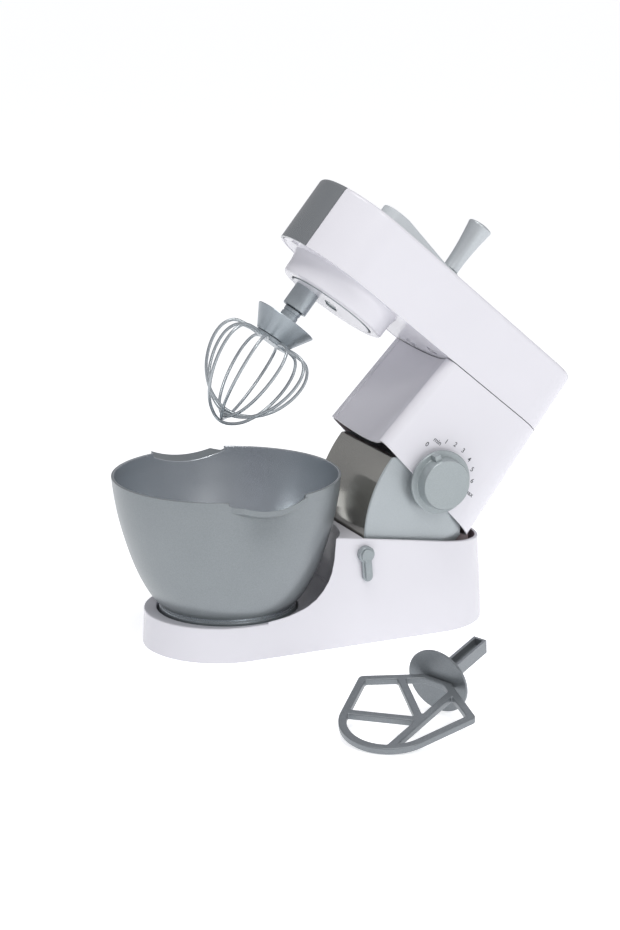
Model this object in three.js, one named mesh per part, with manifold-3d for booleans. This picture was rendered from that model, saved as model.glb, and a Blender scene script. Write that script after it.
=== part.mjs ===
// Toy stand mixer, head tilted open, with a loose K beater lying in front of it.
// Millimetres, +Z up. The origin is on the floor under the bowl's axis. The pillar is towards +X,
// the nose of the head towards -X, and the dial and the lock lever are on the -Y side.
import * as THREE from 'three';
import { mergeVertices } from 'three/addons/utils/BufferGeometryUtils.js';
import Module from 'manifold-3d';

const wasm = await Module();
wasm.setup();

// Shared clearances
const restGap = 0.3; // between fixed pieces that touch in use
const runGap = 0.5; // between a moving piece and what it passes
const overrun = 20; // how far a cutting tool passes the face it cuts

// Facets round a full turn
const drumTurn = 144;
const wideTurn = 48;
const mediumTurn = 24;
const smallTurn = 12;
const screwTurn = 8;

// Angles
const halfTurn = 180;
const quarterTurn = 90;

// Walls that the housings share
const baseWall = 2.4;
const headWall = 2.2;

// Seat of the base
const seatFloor = 17;
const seatLip = 24;
const seatPlay = 1.3; // round the bowl's foot
const seatEdge = 5.3; // from the seat's wall to the outside of the base

// Bowl; the shares run up its outside
const bowlRimRadius = 80;
const bowlHeight = 102.5;
const bowlRadiusShares = [0.56, 0.605, 0.605, 0.5975, 0.68, 0.78125, 0.8675, 0.94, 0.9825, 1];
const bowlHeightShares = [0, 0, 0.081, 0.0946, 0.1766, 0.319, 0.4966, 0.6976, 0.8751, 1];
const bowlFootShare = bowlRadiusShares[1];
const bowlFloorShare = 0.55;
const bowlFloorRise = 6.7; // floor above the foot
const bowlWall = 1.9;
const notchHalfAngle = 20;
const notchStep = 2.7;
const notchDip = 5.3;
const notchSteps = 8;
const notchRise = 0.45; // the notch and its lip rise outwards by this share
const lipReach = 5; // beyond the rim
const lipDepth = 4;
const lipTaper = 9.5; // each end of the lip slants back to the wall over this length
const bowlLowZ = seatFloor + restGap;
const bowlRimZ = bowlLowZ + bowlHeight;
const bowlFloorZ = bowlLowZ + bowlFloorRise;
const bowlFloorRadius = bowlRimRadius * bowlFloorShare;
const bowlRadii = bowlRadiusShares.map((share) => bowlRimRadius * share);
const bowlHeights = bowlHeightShares.map((share) => bowlLowZ + bowlHeight * share);

// Widths along the object
const headHalfWidth = 46;
const rearFlare = 5.7; // the base's rear lobe is wider than the head by this much on each side
const seatRadius = bowlRimRadius * bowlFootShare + seatPlay;
const baseFrontRadius = seatRadius + seatEdge;
const baseRearRadius = headHalfWidth + rearFlare;

// Tilt hinge and the drum round it; the drum's front clears the bowl
const drumRadius = 90;
const drumBowlGap = 6;
const pivotX = bowlRimRadius + drumBowlGap + drumRadius;
const openAngle = 39;
const axleRadius = 3;
const knuckleRadius = 6.8;
const knuckleHalfWidth = 9;
const earThickness = 4;
const earRadius = 7.2;
const earHoleGap = 0.3;
const bracketFloor = 3.4;
const bracketFrontReach = 16; // from the hinge axis
const bracketRearReach = 8;
const bracketScrewReach = 11.5;
const axleClipRadius = 5.2;
const axleClipThickness = 1.2;
const bracketFrontX = pivotX - bracketFrontReach;
const bracketRearX = pivotX + bracketRearReach;
const bracketScrewX = pivotX - bracketScrewReach;

// Base
const baseFrontX = -5.5; // centre of the front lobe
const baseRearReach = 19.2; // from the hinge axis to the base's rear end
const baseRearX = pivotX + baseRearReach - baseRearRadius; // centre of the rear lobe
const baseDraftAngle = 3;
const baseFrontTop = 24.6;
const rimZ = 75; // height of the sloping rim of the rear part, where it starts to be seen
const rimReach = 89.4; // from the hinge axis to that place
const rimX = pivotX - rimReach;
const rimSlopeAngle = 8.4;
const blankRise = 15; // the base is cut from a blank this much higher than the rim
const baseTopLimit = rimZ + blankRise;
const swoopStartX = 9; // where the side wall starts to climb to the rear part
const coverThickness = 2.6;
const saddleRadiusShares = [0.72375, 0.8075, 0.9075, 0.96, 0.9875]; // of the bowl's rim radius
const saddleHeightShares = [0.3733, 0.432, 0.5707, 0.72, 1.0533]; // of the rim's height
const landGap = 1.8; // from the land behind the bowl to the drum
const landRearX = pivotX - drumRadius - landGap;
const padRadius = 7;
const padThickness = 1.3;
const padInset = 13.9; // from the edge of each lobe to the middle of its pads
const frontPadAngle = 126.6;
const rearPadAngle = 70;
const coverBossRadius = 3.6;
const frontBossInset = 15.1;
const frontBossAngle = 156.3;
const rearBossInset = 10; // inside the bowl's rim
const rearBossY = 16;
const rearBossX = bowlRimRadius - rearBossInset;

// Screws
const screwRadius = 1.3;
const screwHeadRadius = 2.8;
const screwHeadHeight = 1.6;
const screwLength = 9;
const screwPilotGap = 0.3;

// Height of the hinge axis
const pivotDrop = 3; // below the rim's named height
const pivotZ = rimZ - pivotDrop;

// Grey sector drum, drawn in the closed pose
const drumChamfer = 2.2;
const drumWall = 2.2;
const drumInnerRadius = 12;
const drumLowAngle = -41;
const drumHighAngle = 14;
const drumCheekRadius = drumRadius * 0.66;
const drumCheekAngle = -72; // both sides run down to here, to close the base when the head is open
const drumMouthAngle = 30; // the hollow runs this much past both open ends
const drumWebThickness = 2;
const drumWebStopAngle = 1; // the webs stop this much short of both open ends
const drumHalfWidth = headHalfWidth - headWall - restGap;
const dialClearRadius = 14; // hole in the drum's side round the dial's click wheel

// Lock lever
const leverBowlReach = 3.3; // beyond the bowl's rim
const leverDrop = 9.7; // below the rim's named height
const leverX = bowlRimRadius + leverBowlReach;
const leverZ = rimZ - leverDrop;
const leverTiltAngle = 4.7;
const leverBossRadius = 5.8;
const leverArmWidth = 7.2;
const leverLength = 20;
const leverPlate = 2.2;
const leverRidge = 2.2;
const leverRidgeInset = 1.2;
const leverShaftRadius = 2.2;
const pawlRadius = 3.4;
const pawlLength = 9;
const pawlThickness = 1.6;

// Pillar, drawn in the closed pose
const headOverBowl = 33.9; // from the bowl's rim up to the parting line
const partingZ = bowlRimZ + headOverBowl; // parting line at the bowl axis
const pillarEdgeRadius = 4.5;
const pillarCornerRadius = 24;
const pillarDip = 19; // the pillar's form starts this much below the rim's named height
const pillarLowZ = rimZ - pillarDip;
const scoopGap = 7; // from the bowl's rim to the scooped front at the parting line
const scoopLean = 7.1; // the scoop is tighter by this much at the lower end
const pillarScoopHigh = bowlRimRadius + scoopGap;
const pillarScoopLow = pillarScoopHigh - scoopLean;
const pillarRearLowReach = 4.7; // from the hinge axis
const pillarRearHighReach = 0.8;
const pillarRearLow = pivotX + pillarRearLowReach;
const pillarRearHigh = pivotX + pillarRearHighReach;
const pillarRimGap = 1.2; // gap between the closed pillar and the base rim
const pillarDeck = 2.3;
const pillarScrewReach = 18; // from the hinge axis
const pillarScrewInset = 20; // from the head's side
const pillarScrewX = pivotX - pillarScrewReach;
const pillarScrewY = headHalfWidth - pillarScrewInset;

// Head, drawn in the closed pose
const noseX = -11; // centre of the round nose
const partingSlopeAngle = 0.47;
const partingGroove = 0.5;
const headDepth = 48.6; // from the parting line to the top at the bowl axis
const headTopZ = partingZ + headDepth;
const headTopSlopeAngle = 1.17;
const headRearLean = 1.6; // the rear face leans in by this much
const headTopRearX = pillarRearHigh - headRearLean;
const headEdgeRound = 2.6;
const headEdgeAngles = [0, 30, 60, 90];
const bandHalfAngle = 28.3;
const bandThickness = 1.9;
const backingMarginAngle = 3.4; // the wall behind the band runs on by this angle
const plateNoseMarginAngle = 5.7;
const plateInset = 0.9;
const plateThickness = 2.2;
const noseScrewInset = 7.5; // from the tip of the nose
const plateScrewInset = 10; // from the scooped front of the pillar
const noseScrewX = noseX - headHalfWidth + noseScrewInset;
const plateScrewX = pillarScoopHigh - plateScrewInset;
const plateScrewY = 17;
const headBossRadius = 3.6;

// Hub under the head; the shares run up its outside, from its lower edge to its root
const skirtDepth = 17.7; // below the parting line
const skirtRootRise = 1.2; // above the parting line
const skirtRadiusShares = [0.8843, 0.9329, 0.9491, 0.9537, 0.9699, 1];
const skirtHeightShares = [0, 0.0423, 0.1376, 0.4762, 0.7143, 1];
const skirtWall = 9.6; // at the root
const skirtRootRadius = headHalfWidth - headWall - restGap * 2;
const skirtBore = skirtRootRadius - skirtWall;
const skirtLowZ = partingZ - skirtDepth;
const skirtRootZ = partingZ + skirtRootRise;

// Carrier and gears in the hub
const carrierRunGap = 1.1;
const carrierRecess = 0.2; // above the hub's lower edge
const carrierThickness = 2.4;
const carrierHubHeight = 13.8;
const carrierRadius = skirtBore - carrierRunGap;
const carrierZ = skirtLowZ + carrierRecess;
const carrierHubTop = carrierZ + carrierHubHeight;
const slotLength = 12;
const slotWidth = 6;
const slotDepth = 1.4;
const gearRingTeeth = 48;
const gearPlanetTeeth = 16;
const gearWidth = 7;
const gearRise = 2.4; // above the carrier
const gearZ = carrierZ + carrierThickness + gearRise;
const toothHalfTipShare = 0.14; // half tooth at its tip, as a share of the tooth pitch
const toothHalfRootShare = 0.34;
const addendumShare = 0.85; // of the module
const dedendumShare = 1.2;
const ringRimGap = 0.4;
const ringPitchDepth = 4.2; // from the hub's bore to the ring's pitch circle
const ringRimRadius = skirtBore - ringRimGap;
const ringPitchRadius = skirtBore - ringPitchDepth;
const gearModule = (2 * ringPitchRadius) / gearRingTeeth;
const planetPitchRadius = (gearModule * gearPlanetTeeth) / 2;
const planetTipRadius = planetPitchRadius + addendumShare * gearModule;
const spindleOffset = ringPitchRadius - planetPitchRadius;
const spindleAngle = 145;
const hubGearGap = 1.26;
const carrierHubRadius = spindleOffset - planetTipRadius - hubGearGap;

// Hand crank
const shaftRadius = 4;
const shaftKeyRadius = 3;
const bushRadius = 6.2;
const bushFlangeRadius = 8.6;
const bushFlangeHeight = 1;
const crankBossRadius = 10;
const crankEndRadius = 8;
const crankReach = 60;
const crankGap = 1.9; // above the head
const crankBossHeight = 11.4;
const crankEndHeight = 4.6;
const crankLow = headTopZ + crankGap;
const crankBossTop = crankLow + crankBossHeight;
const crankEndTop = crankLow + crankEndHeight;
const crankSlopeStart = 7;
const pinRadius = 2.2;
const knobGap = 0.4;
const knobLowZ = crankEndTop + knobGap;
const knobHeight = 38;
const knobWaistShare = 0.25; // of the knob's height
const knobBaseRadius = 5.9;
const knobWaistRadius = 6.3;
const knobTopRadius = 9.3;
const knobRoofDepth = 8; // over the pin's bore
const knobBoreDepth = knobHeight - knobRoofDepth;
const knobDish = 0.9;

// Tool socket and planet gear
const socketRadius = 9.3;
const socketLength = 17;
const socketBore = 7.1;
const socketRoof = 3;
const socketBoreDepth = socketLength - socketRoof;
const stemRadius = 3.4;
const stemRise = 3; // above the planet gear
const stemTop = gearZ + gearWidth + stemRise;
const clipThickness = 1;
const clipGrooveDepth = 0.85;
const clipRimWidth = 1.1; // beyond the stem
const socketMouthZ = carrierZ - restGap - socketLength;

// Whisk, drawn along its own axis with the socket's mouth at zero and the wires towards minus
const whiskDroopAngle = 1;
const whiskStemRadius = 4.4;
const whiskStemGap = 2; // from the stem's end to the socket's roof
const whiskStemLength = socketBoreDepth - whiskStemGap;
const neckRadius = 6.5;
const neckGrooveRadius = 5.9;
const neckGrooveTop = -3.2;
const neckGrooveLow = -4.6;
const collarRimRadius = 23;
const collarRimZ = -9.4;
const collarRimThickness = 1.4;
const collarLowRadius = 13.6;
const collarLowZ = -23.4;
const collarDishZ = -12.5;
const capInset = 0.4;
const capThickness = 4;
const capRadius = collarLowRadius - capInset;
const wireRadius = 1.15;
const wireLoops = 5;
const firstWireAngle = 18; // about the whisk's own axis
const cageRadius = 36;
const wireRootDrop = 2.6; // below the collar
const wireRootZ = collarLowZ - wireRootDrop;
const whiskFloorGap = 4.7; // from the bowl's floor to the wires' tip with the head closed
const cageLength = socketMouthZ + wireRootZ - bowlFloorZ - whiskFloorGap;
const wireStack = 2.6; // each loop's tip lies this much inside the one before
const wireRadiusShares = [0.56, 0.82, 0.965, 1, 0.94, 0.79, 0.55, 0.26];
const wireDropShares = [-0.01, 0.02, 0.135, 0.3, 0.5, 0.7, 0.87, 0.97];
const wireSides = 3; // per half turn
const wireSteps = 24;

// Speed dial
const dialReach = 51.8; // from the hinge axis
const dialRise = 8.2; // above the hinge axis
const dialX = pivotX - dialReach;
const dialZ = pivotZ + dialRise;
const dialStandOff = 3.9; // flange to pillar wall, so that it clears the base when closed
const dialFlangeRadius = 22.7;
const dialFlangeThickness = 2.7;
const dialKnobRadius = 18.5;
const dialKnobHeight = 9;
const dialKnobTaper = 0.7;
const dialBossRadius = 7.5;
const dialAxleRadius = 3;
const dialZeroAngle = 34.6; // from the nose side, upwards
const pointerWidth = 4.6;
const pointerReach = 22.2;
const pointerDrop = 2.6;
const clickRadius = 9.6;
const clickTeeth = 18;
const clickDepth = 0.9;
const clickThickness = 2.2;
const detentWidth = 2;
const detentLength = 22;
const detentThickness = 1;

// Loose K beater, drawn along its own axis with the guard disc at zero
const beaterX = 68.1;
const beaterY = -194.5;
const beaterYawAngle = 29.2;
const beaterRollAngle = 5.7;
const beaterPitchAngle = 12.6;
const beaterDiscRadius = 22.1;
const beaterDiscThickness = 1.8;
const beaterDiscDish = 4;
const beaterTip = 50.7;
const beaterShaftWidth = 9.6;
const beaterShaftWall = 2;
const bladeThickness = 4.6;
const bladeBar = 5.2;
const bladeArcX = -53.9;
const bladeArcRadius = 32.65;
const bladeShoulderX = -24.4;
const bladeShoulderY = 44.4;
const bladeTopX = -5.1;
const bladeTopY = 16.7;
const bladeHubLength = 7;
const bladeHubHalfWidth = 8;
const spineY = -16.4;
const armJointX = -42;
const armJointY = -13;
const upperArmX = -14;
const upperArmY = 18.5;
const lowerArmX = -61.5;
const lowerArmY = 28;

// Colours and surface finish, as seen on the object
const whitePlastic = new THREE.MeshStandardMaterial({ color: 0xe8eaf0, roughness: 0.28, metalness: 0 });
const silverPlastic = new THREE.MeshStandardMaterial({ color: 0x969ea2, roughness: 0.42, metalness: 0.3 });
const darkSilverPlastic = new THREE.MeshStandardMaterial({ color: 0x7a8083, roughness: 0.4, metalness: 0.35 });
const oliveGreyPlastic = new THREE.MeshStandardMaterial({ color: 0x8e9391, roughness: 0.35, metalness: 0.2 });
const paleGreyPlastic = new THREE.MeshStandardMaterial({ color: 0xbec5c8, roughness: 0.4, metalness: 0.1 });
const beaterPlastic = new THREE.MeshStandardMaterial({ color: 0x6f7679, roughness: 0.42, metalness: 0.3 });
const plainAcetal = new THREE.MeshStandardMaterial({ color: 0xd9d9d2, roughness: 0.45, metalness: 0 });
const steel = new THREE.MeshStandardMaterial({ color: 0xb4b6b8, roughness: 0.35, metalness: 1 });
const blackFoam = new THREE.MeshStandardMaterial({ color: 0x2b2c2e, roughness: 0.9, metalness: 0 });

const radians = THREE.MathUtils.degToRad;
const slopeOf = (angle) => Math.tan(radians(angle));

// Closed triangle mesh as a solid: shared vertices, no empty triangles, faces outwards
function solid(geometry) {
  const bare = geometry.clone();
  bare.deleteAttribute('normal');
  bare.deleteAttribute('uv');
  const merged = mergeVertices(bare);
  const position = merged.getAttribute('position');
  const corners = merged.getIndex().array;
  const triangles = [];
  let volume = 0;
  const a = new THREE.Vector3();
  const b = new THREE.Vector3();
  const c = new THREE.Vector3();
  for (let i = 0; i < corners.length; i += 3) {
    const [p, q, r] = [corners[i], corners[i + 1], corners[i + 2]];
    if (p === q || q === r || r === p) continue;
    triangles.push(p, q, r);
    a.fromBufferAttribute(position, p);
    b.fromBufferAttribute(position, q);
    c.fromBufferAttribute(position, r);
    volume += a.dot(b.cross(c));
  }
  if (volume < 0) triangles.reverse();
  const mesh = new wasm.Mesh({
    numProp: 3,
    vertProperties: new Float32Array(position.array),
    triVerts: new Uint32Array(triangles),
  });
  return new wasm.Manifold(mesh);
}

function geometryOf(shape) {
  const mesh = shape.getMesh();
  const geometry = new THREE.BufferGeometry();
  const corners = new Float32Array(mesh.vertProperties);
  geometry.setAttribute('position', new THREE.BufferAttribute(corners, mesh.numProp));
  geometry.setIndex(new THREE.BufferAttribute(new Uint32Array(mesh.triVerts), 1));
  const plain = geometry.toNonIndexed();
  plain.computeVertexNormals();
  return plain;
}

// Adds one named piece to a group
function piece(group, name, shape, material) {
  const mesh = new THREE.Mesh(geometryOf(shape), material);
  mesh.name = name;
  group.add(mesh);
  return mesh;
}

// Turns a section about the Z axis; each point is [radius, height]
function turned(points, facets) {
  const profile = points.map(([radius, height]) => new THREE.Vector2(radius, height));
  const geometry = new THREE.LatheGeometry(profile, facets);
  geometry.rotateX(Math.PI / 2);
  return solid(geometry);
}

function cylinder(radius, low, high, facets) {
  return turned([[0, low], [radius, low], [radius, high], [0, high]], facets);
}

function tube(outer, inner, low, high, facets) {
  return turned([[inner, low], [outer, low], [outer, high], [inner, high], [inner, low]], facets);
}

function shapeOf(points) {
  return new THREE.Shape(points.map(([x, y]) => new THREE.Vector2(x, y)));
}

// Raises an outline in XY between two heights
function raised(points, low, high) {
  const geometry = new THREE.ExtrudeGeometry(shapeOf(points), { depth: high - low, bevelEnabled: false });
  geometry.translate(0, 0, low);
  return solid(geometry);
}

// Spreads an outline in XZ between two values of Y
function spread(points, low, high) {
  const geometry = new THREE.ExtrudeGeometry(shapeOf(points), { depth: high - low, bevelEnabled: false });
  geometry.rotateX(Math.PI / 2);
  geometry.translate(0, high, 0);
  return solid(geometry);
}

function box(lowX, highX, lowY, highY, lowZ, highZ) {
  return raised([[lowX, lowY], [highX, lowY], [highX, highY], [lowX, highY]], lowZ, highZ);
}

// Cylinder along Y, for bores and shafts that cross the object
function crossCylinder(radius, x, z, lowY, highY, facets) {
  const points = arcPoints(x, z, radius, 0, 360, facets).slice(0, facets);
  return spread(points, lowY, highY);
}

function movedTo(shape, x, y, z) {
  return shape.translate([x, y, z]);
}

function polar(x, y, radius, angle) {
  return [x + radius * Math.cos(radians(angle)), y + radius * Math.sin(radians(angle))];
}

// Points along an arc, both ends included, angles in degrees
function arcPoints(x, y, radius, start, end, steps) {
  const points = [];
  for (let i = 0; i <= steps; i += 1) {
    points.push(polar(x, y, radius, start + ((end - start) * i) / steps));
  }
  return points;
}

// Skins a stack of outlines that have the same number of points; heightAt gives each point's height
function skinned(levels) {
  const count = levels[0].outline.length;
  const positions = [];
  const triangles = [];
  for (const level of levels) {
    for (const [x, y] of level.outline) positions.push(x, y, level.heightAt(x, y));
  }
  for (let ring = 0; ring + 1 < levels.length; ring += 1) {
    for (let i = 0; i < count; i += 1) {
      const next = (i + 1) % count;
      const a = ring * count + i;
      const b = ring * count + next;
      triangles.push(a, b, b + count, a, b + count, a + count);
    }
  }
  const cap = (level, offset, upwards) => {
    const outline = level.outline.map(([x, y]) => new THREE.Vector2(x, y));
    for (const [p, q, r] of THREE.ShapeUtils.triangulateShape(outline, [])) {
      if (upwards) triangles.push(offset + p, offset + q, offset + r);
      else triangles.push(offset + p, offset + r, offset + q);
    }
  };
  cap(levels[0], 0, false);
  cap(levels[levels.length - 1], (levels.length - 1) * count, true);
  const geometry = new THREE.BufferGeometry();
  geometry.setAttribute('position', new THREE.BufferAttribute(new Float32Array(positions), 3));
  geometry.setIndex(triangles);
  return solid(geometry);
}

const level = (outline, height) => ({ outline, heightAt: () => height });
const slopedLevel = (outline, heightAt) => ({ outline, heightAt });

// Pan-head screw with its head at the bottom, pointing up
function screw(length) {
  return turned(
    [[0, 0], [screwHeadRadius, 0], [screwHeadRadius, screwHeadHeight], [screwRadius, screwHeadHeight],
      [screwRadius, screwHeadHeight + length], [0, screwHeadHeight + length]],
    screwTurn,
  );
}

// Base heights and outline
const rimAt = (x) => rimZ - slopeOf(rimSlopeAngle) * (x - rimX);
const baseInsetAt = (height) => height * slopeOf(baseDraftAngle);
const baseTaperShare = (baseFrontRadius - baseRearRadius) / (baseRearX - baseFrontX);
const baseSideAngle = quarterTurn - THREE.MathUtils.radToDeg(Math.asin(baseTaperShare));

function baseOutline(inset) {
  const frontEnd = halfTurn * 2 - baseSideAngle;
  const front = arcPoints(baseFrontX, 0, baseFrontRadius - inset, baseSideAngle, frontEnd, mediumTurn);
  const rear = arcPoints(baseRearX, 0, baseRearRadius - inset, -baseSideAngle, baseSideAngle, mediumTurn);
  return [...front, ...rear];
}

// Half width of the base's outer wall at a place along it
function baseHalfWidthAt(x, height) {
  const share = (x - baseFrontX) / (baseRearX - baseFrontX);
  return THREE.MathUtils.lerp(baseFrontRadius, baseRearRadius, share) - baseInsetAt(height);
}

// The round well that the bowl stands in, with the saddle wall behind it, grown by a skin
function bowlWell(skin) {
  const floor = seatFloor - skin;
  const points = [[0, floor], [seatRadius + skin, floor], [seatRadius + skin, seatLip - skin]];
  saddleRadiusShares.forEach((share, i) => {
    points.push([bowlRimRadius * share + skin, rimZ * saddleHeightShares[i] - skin]);
  });
  const mouth = bowlRimRadius * saddleRadiusShares[saddleRadiusShares.length - 1] + skin;
  points.push([mouth, baseTopLimit + overrun], [0, baseTopLimit + overrun]);
  return turned(points, wideTurn);
}

// Everything above the low front part
function aboveFront(drop) {
  const side = baseFrontRadius + overrun;
  return box(baseFrontX - side, swoopStartX, -side, side, baseFrontTop - drop, baseTopLimit + overrun);
}

// Everything above the sloping rim of the rear part
function aboveRim(drop, startX) {
  const side = baseFrontRadius + overrun;
  const endX = baseRearX + baseRearRadius + overrun;
  const high = baseTopLimit + overrun;
  return spread(
    [[startX, rimAt(startX) - drop], [endX, rimAt(endX) - drop], [endX, high], [startX, high]],
    -side, side,
  );
}

function baseShell() {
  const topInset = baseInsetAt(baseTopLimit);
  const outer = skinned([level(baseOutline(0), 0), level(baseOutline(topInset), baseTopLimit)]);
  const cavity = skinned([
    level(baseOutline(baseWall), -overrun),
    level(baseOutline(baseWall), 0),
    level(baseOutline(baseWall + topInset), baseTopLimit),
  ]);
  const side = baseFrontRadius + overrun;
  const underLand = box(baseFrontX - side, landRearX, -side, side, -overrun, baseTopLimit)
    .subtract(aboveRim(baseWall, baseFrontX - side))
    .subtract(aboveFront(baseWall));
  const drumBay = box(landRearX, baseRearX + side, -side, side, -overrun, baseTopLimit);
  const hollow = cavity.intersect(underLand.add(drumBay)).subtract(bowlWell(baseWall));
  const bossLow = coverThickness + restGap;
  const boss = tube(coverBossRadius, screwRadius + screwPilotGap, bossLow, baseTopLimit, smallTurn);
  const bosses = coverScrewPlaces().map(([x, y]) => movedTo(boss, x, y, 0));
  const filled = bosses.reduce((shape, boss) => shape.add(boss), outer.subtract(hollow));
  const leverHole = crossCylinder(leverShaftRadius + restGap, leverX, leverZ, -side, 0, smallTurn);
  return filled
    .subtract(bowlWell(0))
    .subtract(aboveFront(0))
    .subtract(aboveRim(0, swoopStartX))
    .subtract(leverHole);
}

function coverScrewPlaces() {
  const front = baseFrontRadius - frontBossInset;
  return [
    polar(baseFrontX, 0, front, -frontBossAngle),
    polar(baseFrontX, 0, front, frontBossAngle),
    [rearBossX, -rearBossY],
    [rearBossX, rearBossY],
  ];
}

function padPlaces() {
  const front = baseFrontRadius - padInset;
  const rear = baseRearRadius - padInset;
  return [
    polar(baseFrontX, 0, front, -frontPadAngle),
    polar(baseFrontX, 0, front, frontPadAngle),
    polar(baseRearX, 0, rear, -rearPadAngle),
    polar(baseRearX, 0, rear, rearPadAngle),
  ];
}

function baseCover() {
  const outline = baseOutline(baseWall + restGap);
  let cover = skinned([level(outline, 0), level(outline, coverThickness)]);
  const padSeat = cylinder(padRadius + restGap, -overrun, padThickness + restGap, mediumTurn);
  for (const [x, y] of padPlaces()) {
    cover = cover.subtract(movedTo(padSeat, x, y, 0));
  }
  const screwPlaces = [...coverScrewPlaces(), ...bracketScrewPlaces()];
  for (const [x, y] of screwPlaces) {
    cover = cover.subtract(movedTo(screwPocket(), x, y, 0));
  }
  return cover;
}

// Stepped hole for a screw whose head lies inside the cover
function screwPocket() {
  const step = screwHeadHeight + restGap;
  const headHole = screwHeadRadius + restGap;
  const shankHole = screwRadius + restGap;
  return turned(
    [[0, -overrun], [headHole, -overrun], [headHole, step], [shankHole, step], [shankHole, overrun],
      [0, overrun]],
    screwTurn,
  );
}

// Tilt hinge bracket: a floor plate with two ears that hold the axle
const earInner = knuckleHalfWidth + runGap;
const earOuter = earInner + earThickness;
const axleReach = earOuter + restGap + axleClipThickness + restGap;

function bracketScrewPlaces() {
  const y = earInner + earThickness / 2;
  return [[bracketScrewX, -y], [bracketScrewX, y]];
}

function hingeBracket() {
  const low = coverThickness + restGap;
  const floor = low + bracketFloor;
  const head = arcPoints(pivotX, pivotZ, earRadius, 0, 180, smallTurn);
  const profile = [[bracketRearX, low], ...head, [bracketFrontX, low]];
  const ears = [-1, 1].map((side) => {
    const near = side < 0 ? -earOuter : earInner;
    return spread(profile, near, near + earThickness);
  });
  const plate = box(bracketFrontX, bracketRearX, -earOuter, earOuter, low, floor);
  const side = earOuter + overrun;
  const bore = crossCylinder(axleRadius + earHoleGap, pivotX, pivotZ, -side, side, smallTurn);
  let bracket = plate.add(ears[0]).add(ears[1]).subtract(bore);
  const pilotTop = screwHeadHeight + screwLength + restGap * 2;
  const pilot = cylinder(screwRadius + screwPilotGap, -overrun, pilotTop, screwTurn);
  for (const [x, y] of bracketScrewPlaces()) {
    bracket = bracket.subtract(movedTo(pilot, x, y, 0));
  }
  return bracket;
}

function pivotAxle() {
  return crossCylinder(axleRadius, pivotX, pivotZ, -axleReach, axleReach, smallTurn);
}

function axleClip(side) {
  const near = earOuter + restGap;
  const ring = tube(axleClipRadius, axleRadius + restGap, near, near + axleClipThickness, smallTurn);
  return ring.rotate([-quarterTurn * side, 0, 0]).translate([pivotX, 0, pivotZ]);
}

// Pillar and head outlines, in the closed pose
const closedRise = (height) => (height - pillarLowZ) / (partingZ - pillarLowZ);
const scoopAt = (height) => THREE.MathUtils.lerp(pillarScoopLow, pillarScoopHigh, closedRise(height));
const pillarRearAt = (height) => THREE.MathUtils.lerp(pillarRearLow, pillarRearHigh, closedRise(height));
const partingAt = (x) => partingZ - slopeOf(partingSlopeAngle) * x;
const headTopAt = (x) => headTopZ - slopeOf(headTopSlopeAngle) * x;
const cornerSteps = 6;
const scoopSteps = 12;
const edgeSteps = 3;

function pillarOutline(inset, height) {
  const half = headHalfWidth - inset;
  const scoop = scoopAt(height) + inset;
  const edge = pillarEdgeRadius - inset;
  const rear = pillarRearAt(height) - inset;
  const corner = pillarCornerRadius - inset;
  const edgeCentre = Math.sqrt((scoop + edge) ** 2 - (half - edge) ** 2);
  const lean = THREE.MathUtils.radToDeg(Math.atan2(half - edge, edgeCentre));
  return [
    ...arcPoints(0, 0, scoop, lean, -lean, scoopSteps),
    ...arcPoints(edgeCentre, edge - half, edge, 180 - lean, 270, edgeSteps).slice(1),
    ...arcPoints(rear - corner, corner - half, corner, -90, 0, cornerSteps),
    ...arcPoints(rear - corner, half - corner, corner, 0, 90, cornerSteps),
    ...arcPoints(edgeCentre, half - edge, edge, 90, 180 + lean, edgeSteps).slice(0, edgeSteps),
  ];
}

function headOutline(inset, rear) {
  const half = headHalfWidth - inset;
  const corner = pillarCornerRadius - inset;
  return [
    ...arcPoints(noseX, 0, half, 90, 270, mediumTurn),
    ...arcPoints(rear - inset - corner, corner - half, corner, -90, 0, cornerSteps),
    ...arcPoints(rear - inset - corner, half - corner, corner, 0, 90, cornerSteps),
  ];
}

const pillarLowEdgeAt = (x) => rimAt(x) + pillarRimGap;

function pillarShell() {
  const top = partingZ + overrun;
  const outer = skinned([level(pillarOutline(0, pillarLowZ), pillarLowZ), level(pillarOutline(0, top), top)]);
  const inner = skinned([
    level(pillarOutline(headWall, pillarLowZ - overrun), pillarLowZ - overrun),
    level(pillarOutline(headWall, partingZ - pillarDeck), partingZ - pillarDeck - partingGroove),
  ]);
  const side = headHalfWidth + overrun;
  const front = -side;
  const back = pillarRearLow + overrun;
  const under = spread(
    [[front, pillarLowEdgeAt(front)], [front, 0], [back, 0], [back, pillarLowEdgeAt(back)]], -side, side,
  );
  const grooveAt = (x) => partingAt(x) - partingGroove;
  const over = spread(
    [[front, grooveAt(front)], [back, grooveAt(back)], [back, top + overrun], [front, top + overrun]],
    -side, side,
  );
  let shell = outer.subtract(inner).subtract(under).subtract(over);
  for (const [x, y] of pillarScrewPlaces()) {
    shell = shell.subtract(movedTo(cylinder(screwRadius + restGap, pillarLowZ, top, screwTurn), x, y, 0));
  }
  const dialHole = crossCylinder(dialBossRadius + runGap, dialX, dialZ, -side, 0, mediumTurn);
  const hingeHalf = axleReach + runGap;
  const hingeTop = pivotZ + earRadius + runGap;
  const hingeHole = box(pivotX - overrun, pivotX + overrun, -hingeHalf, hingeHalf, 0, hingeTop);
  return shell.subtract(dialHole).subtract(hingeHole);
}

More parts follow.
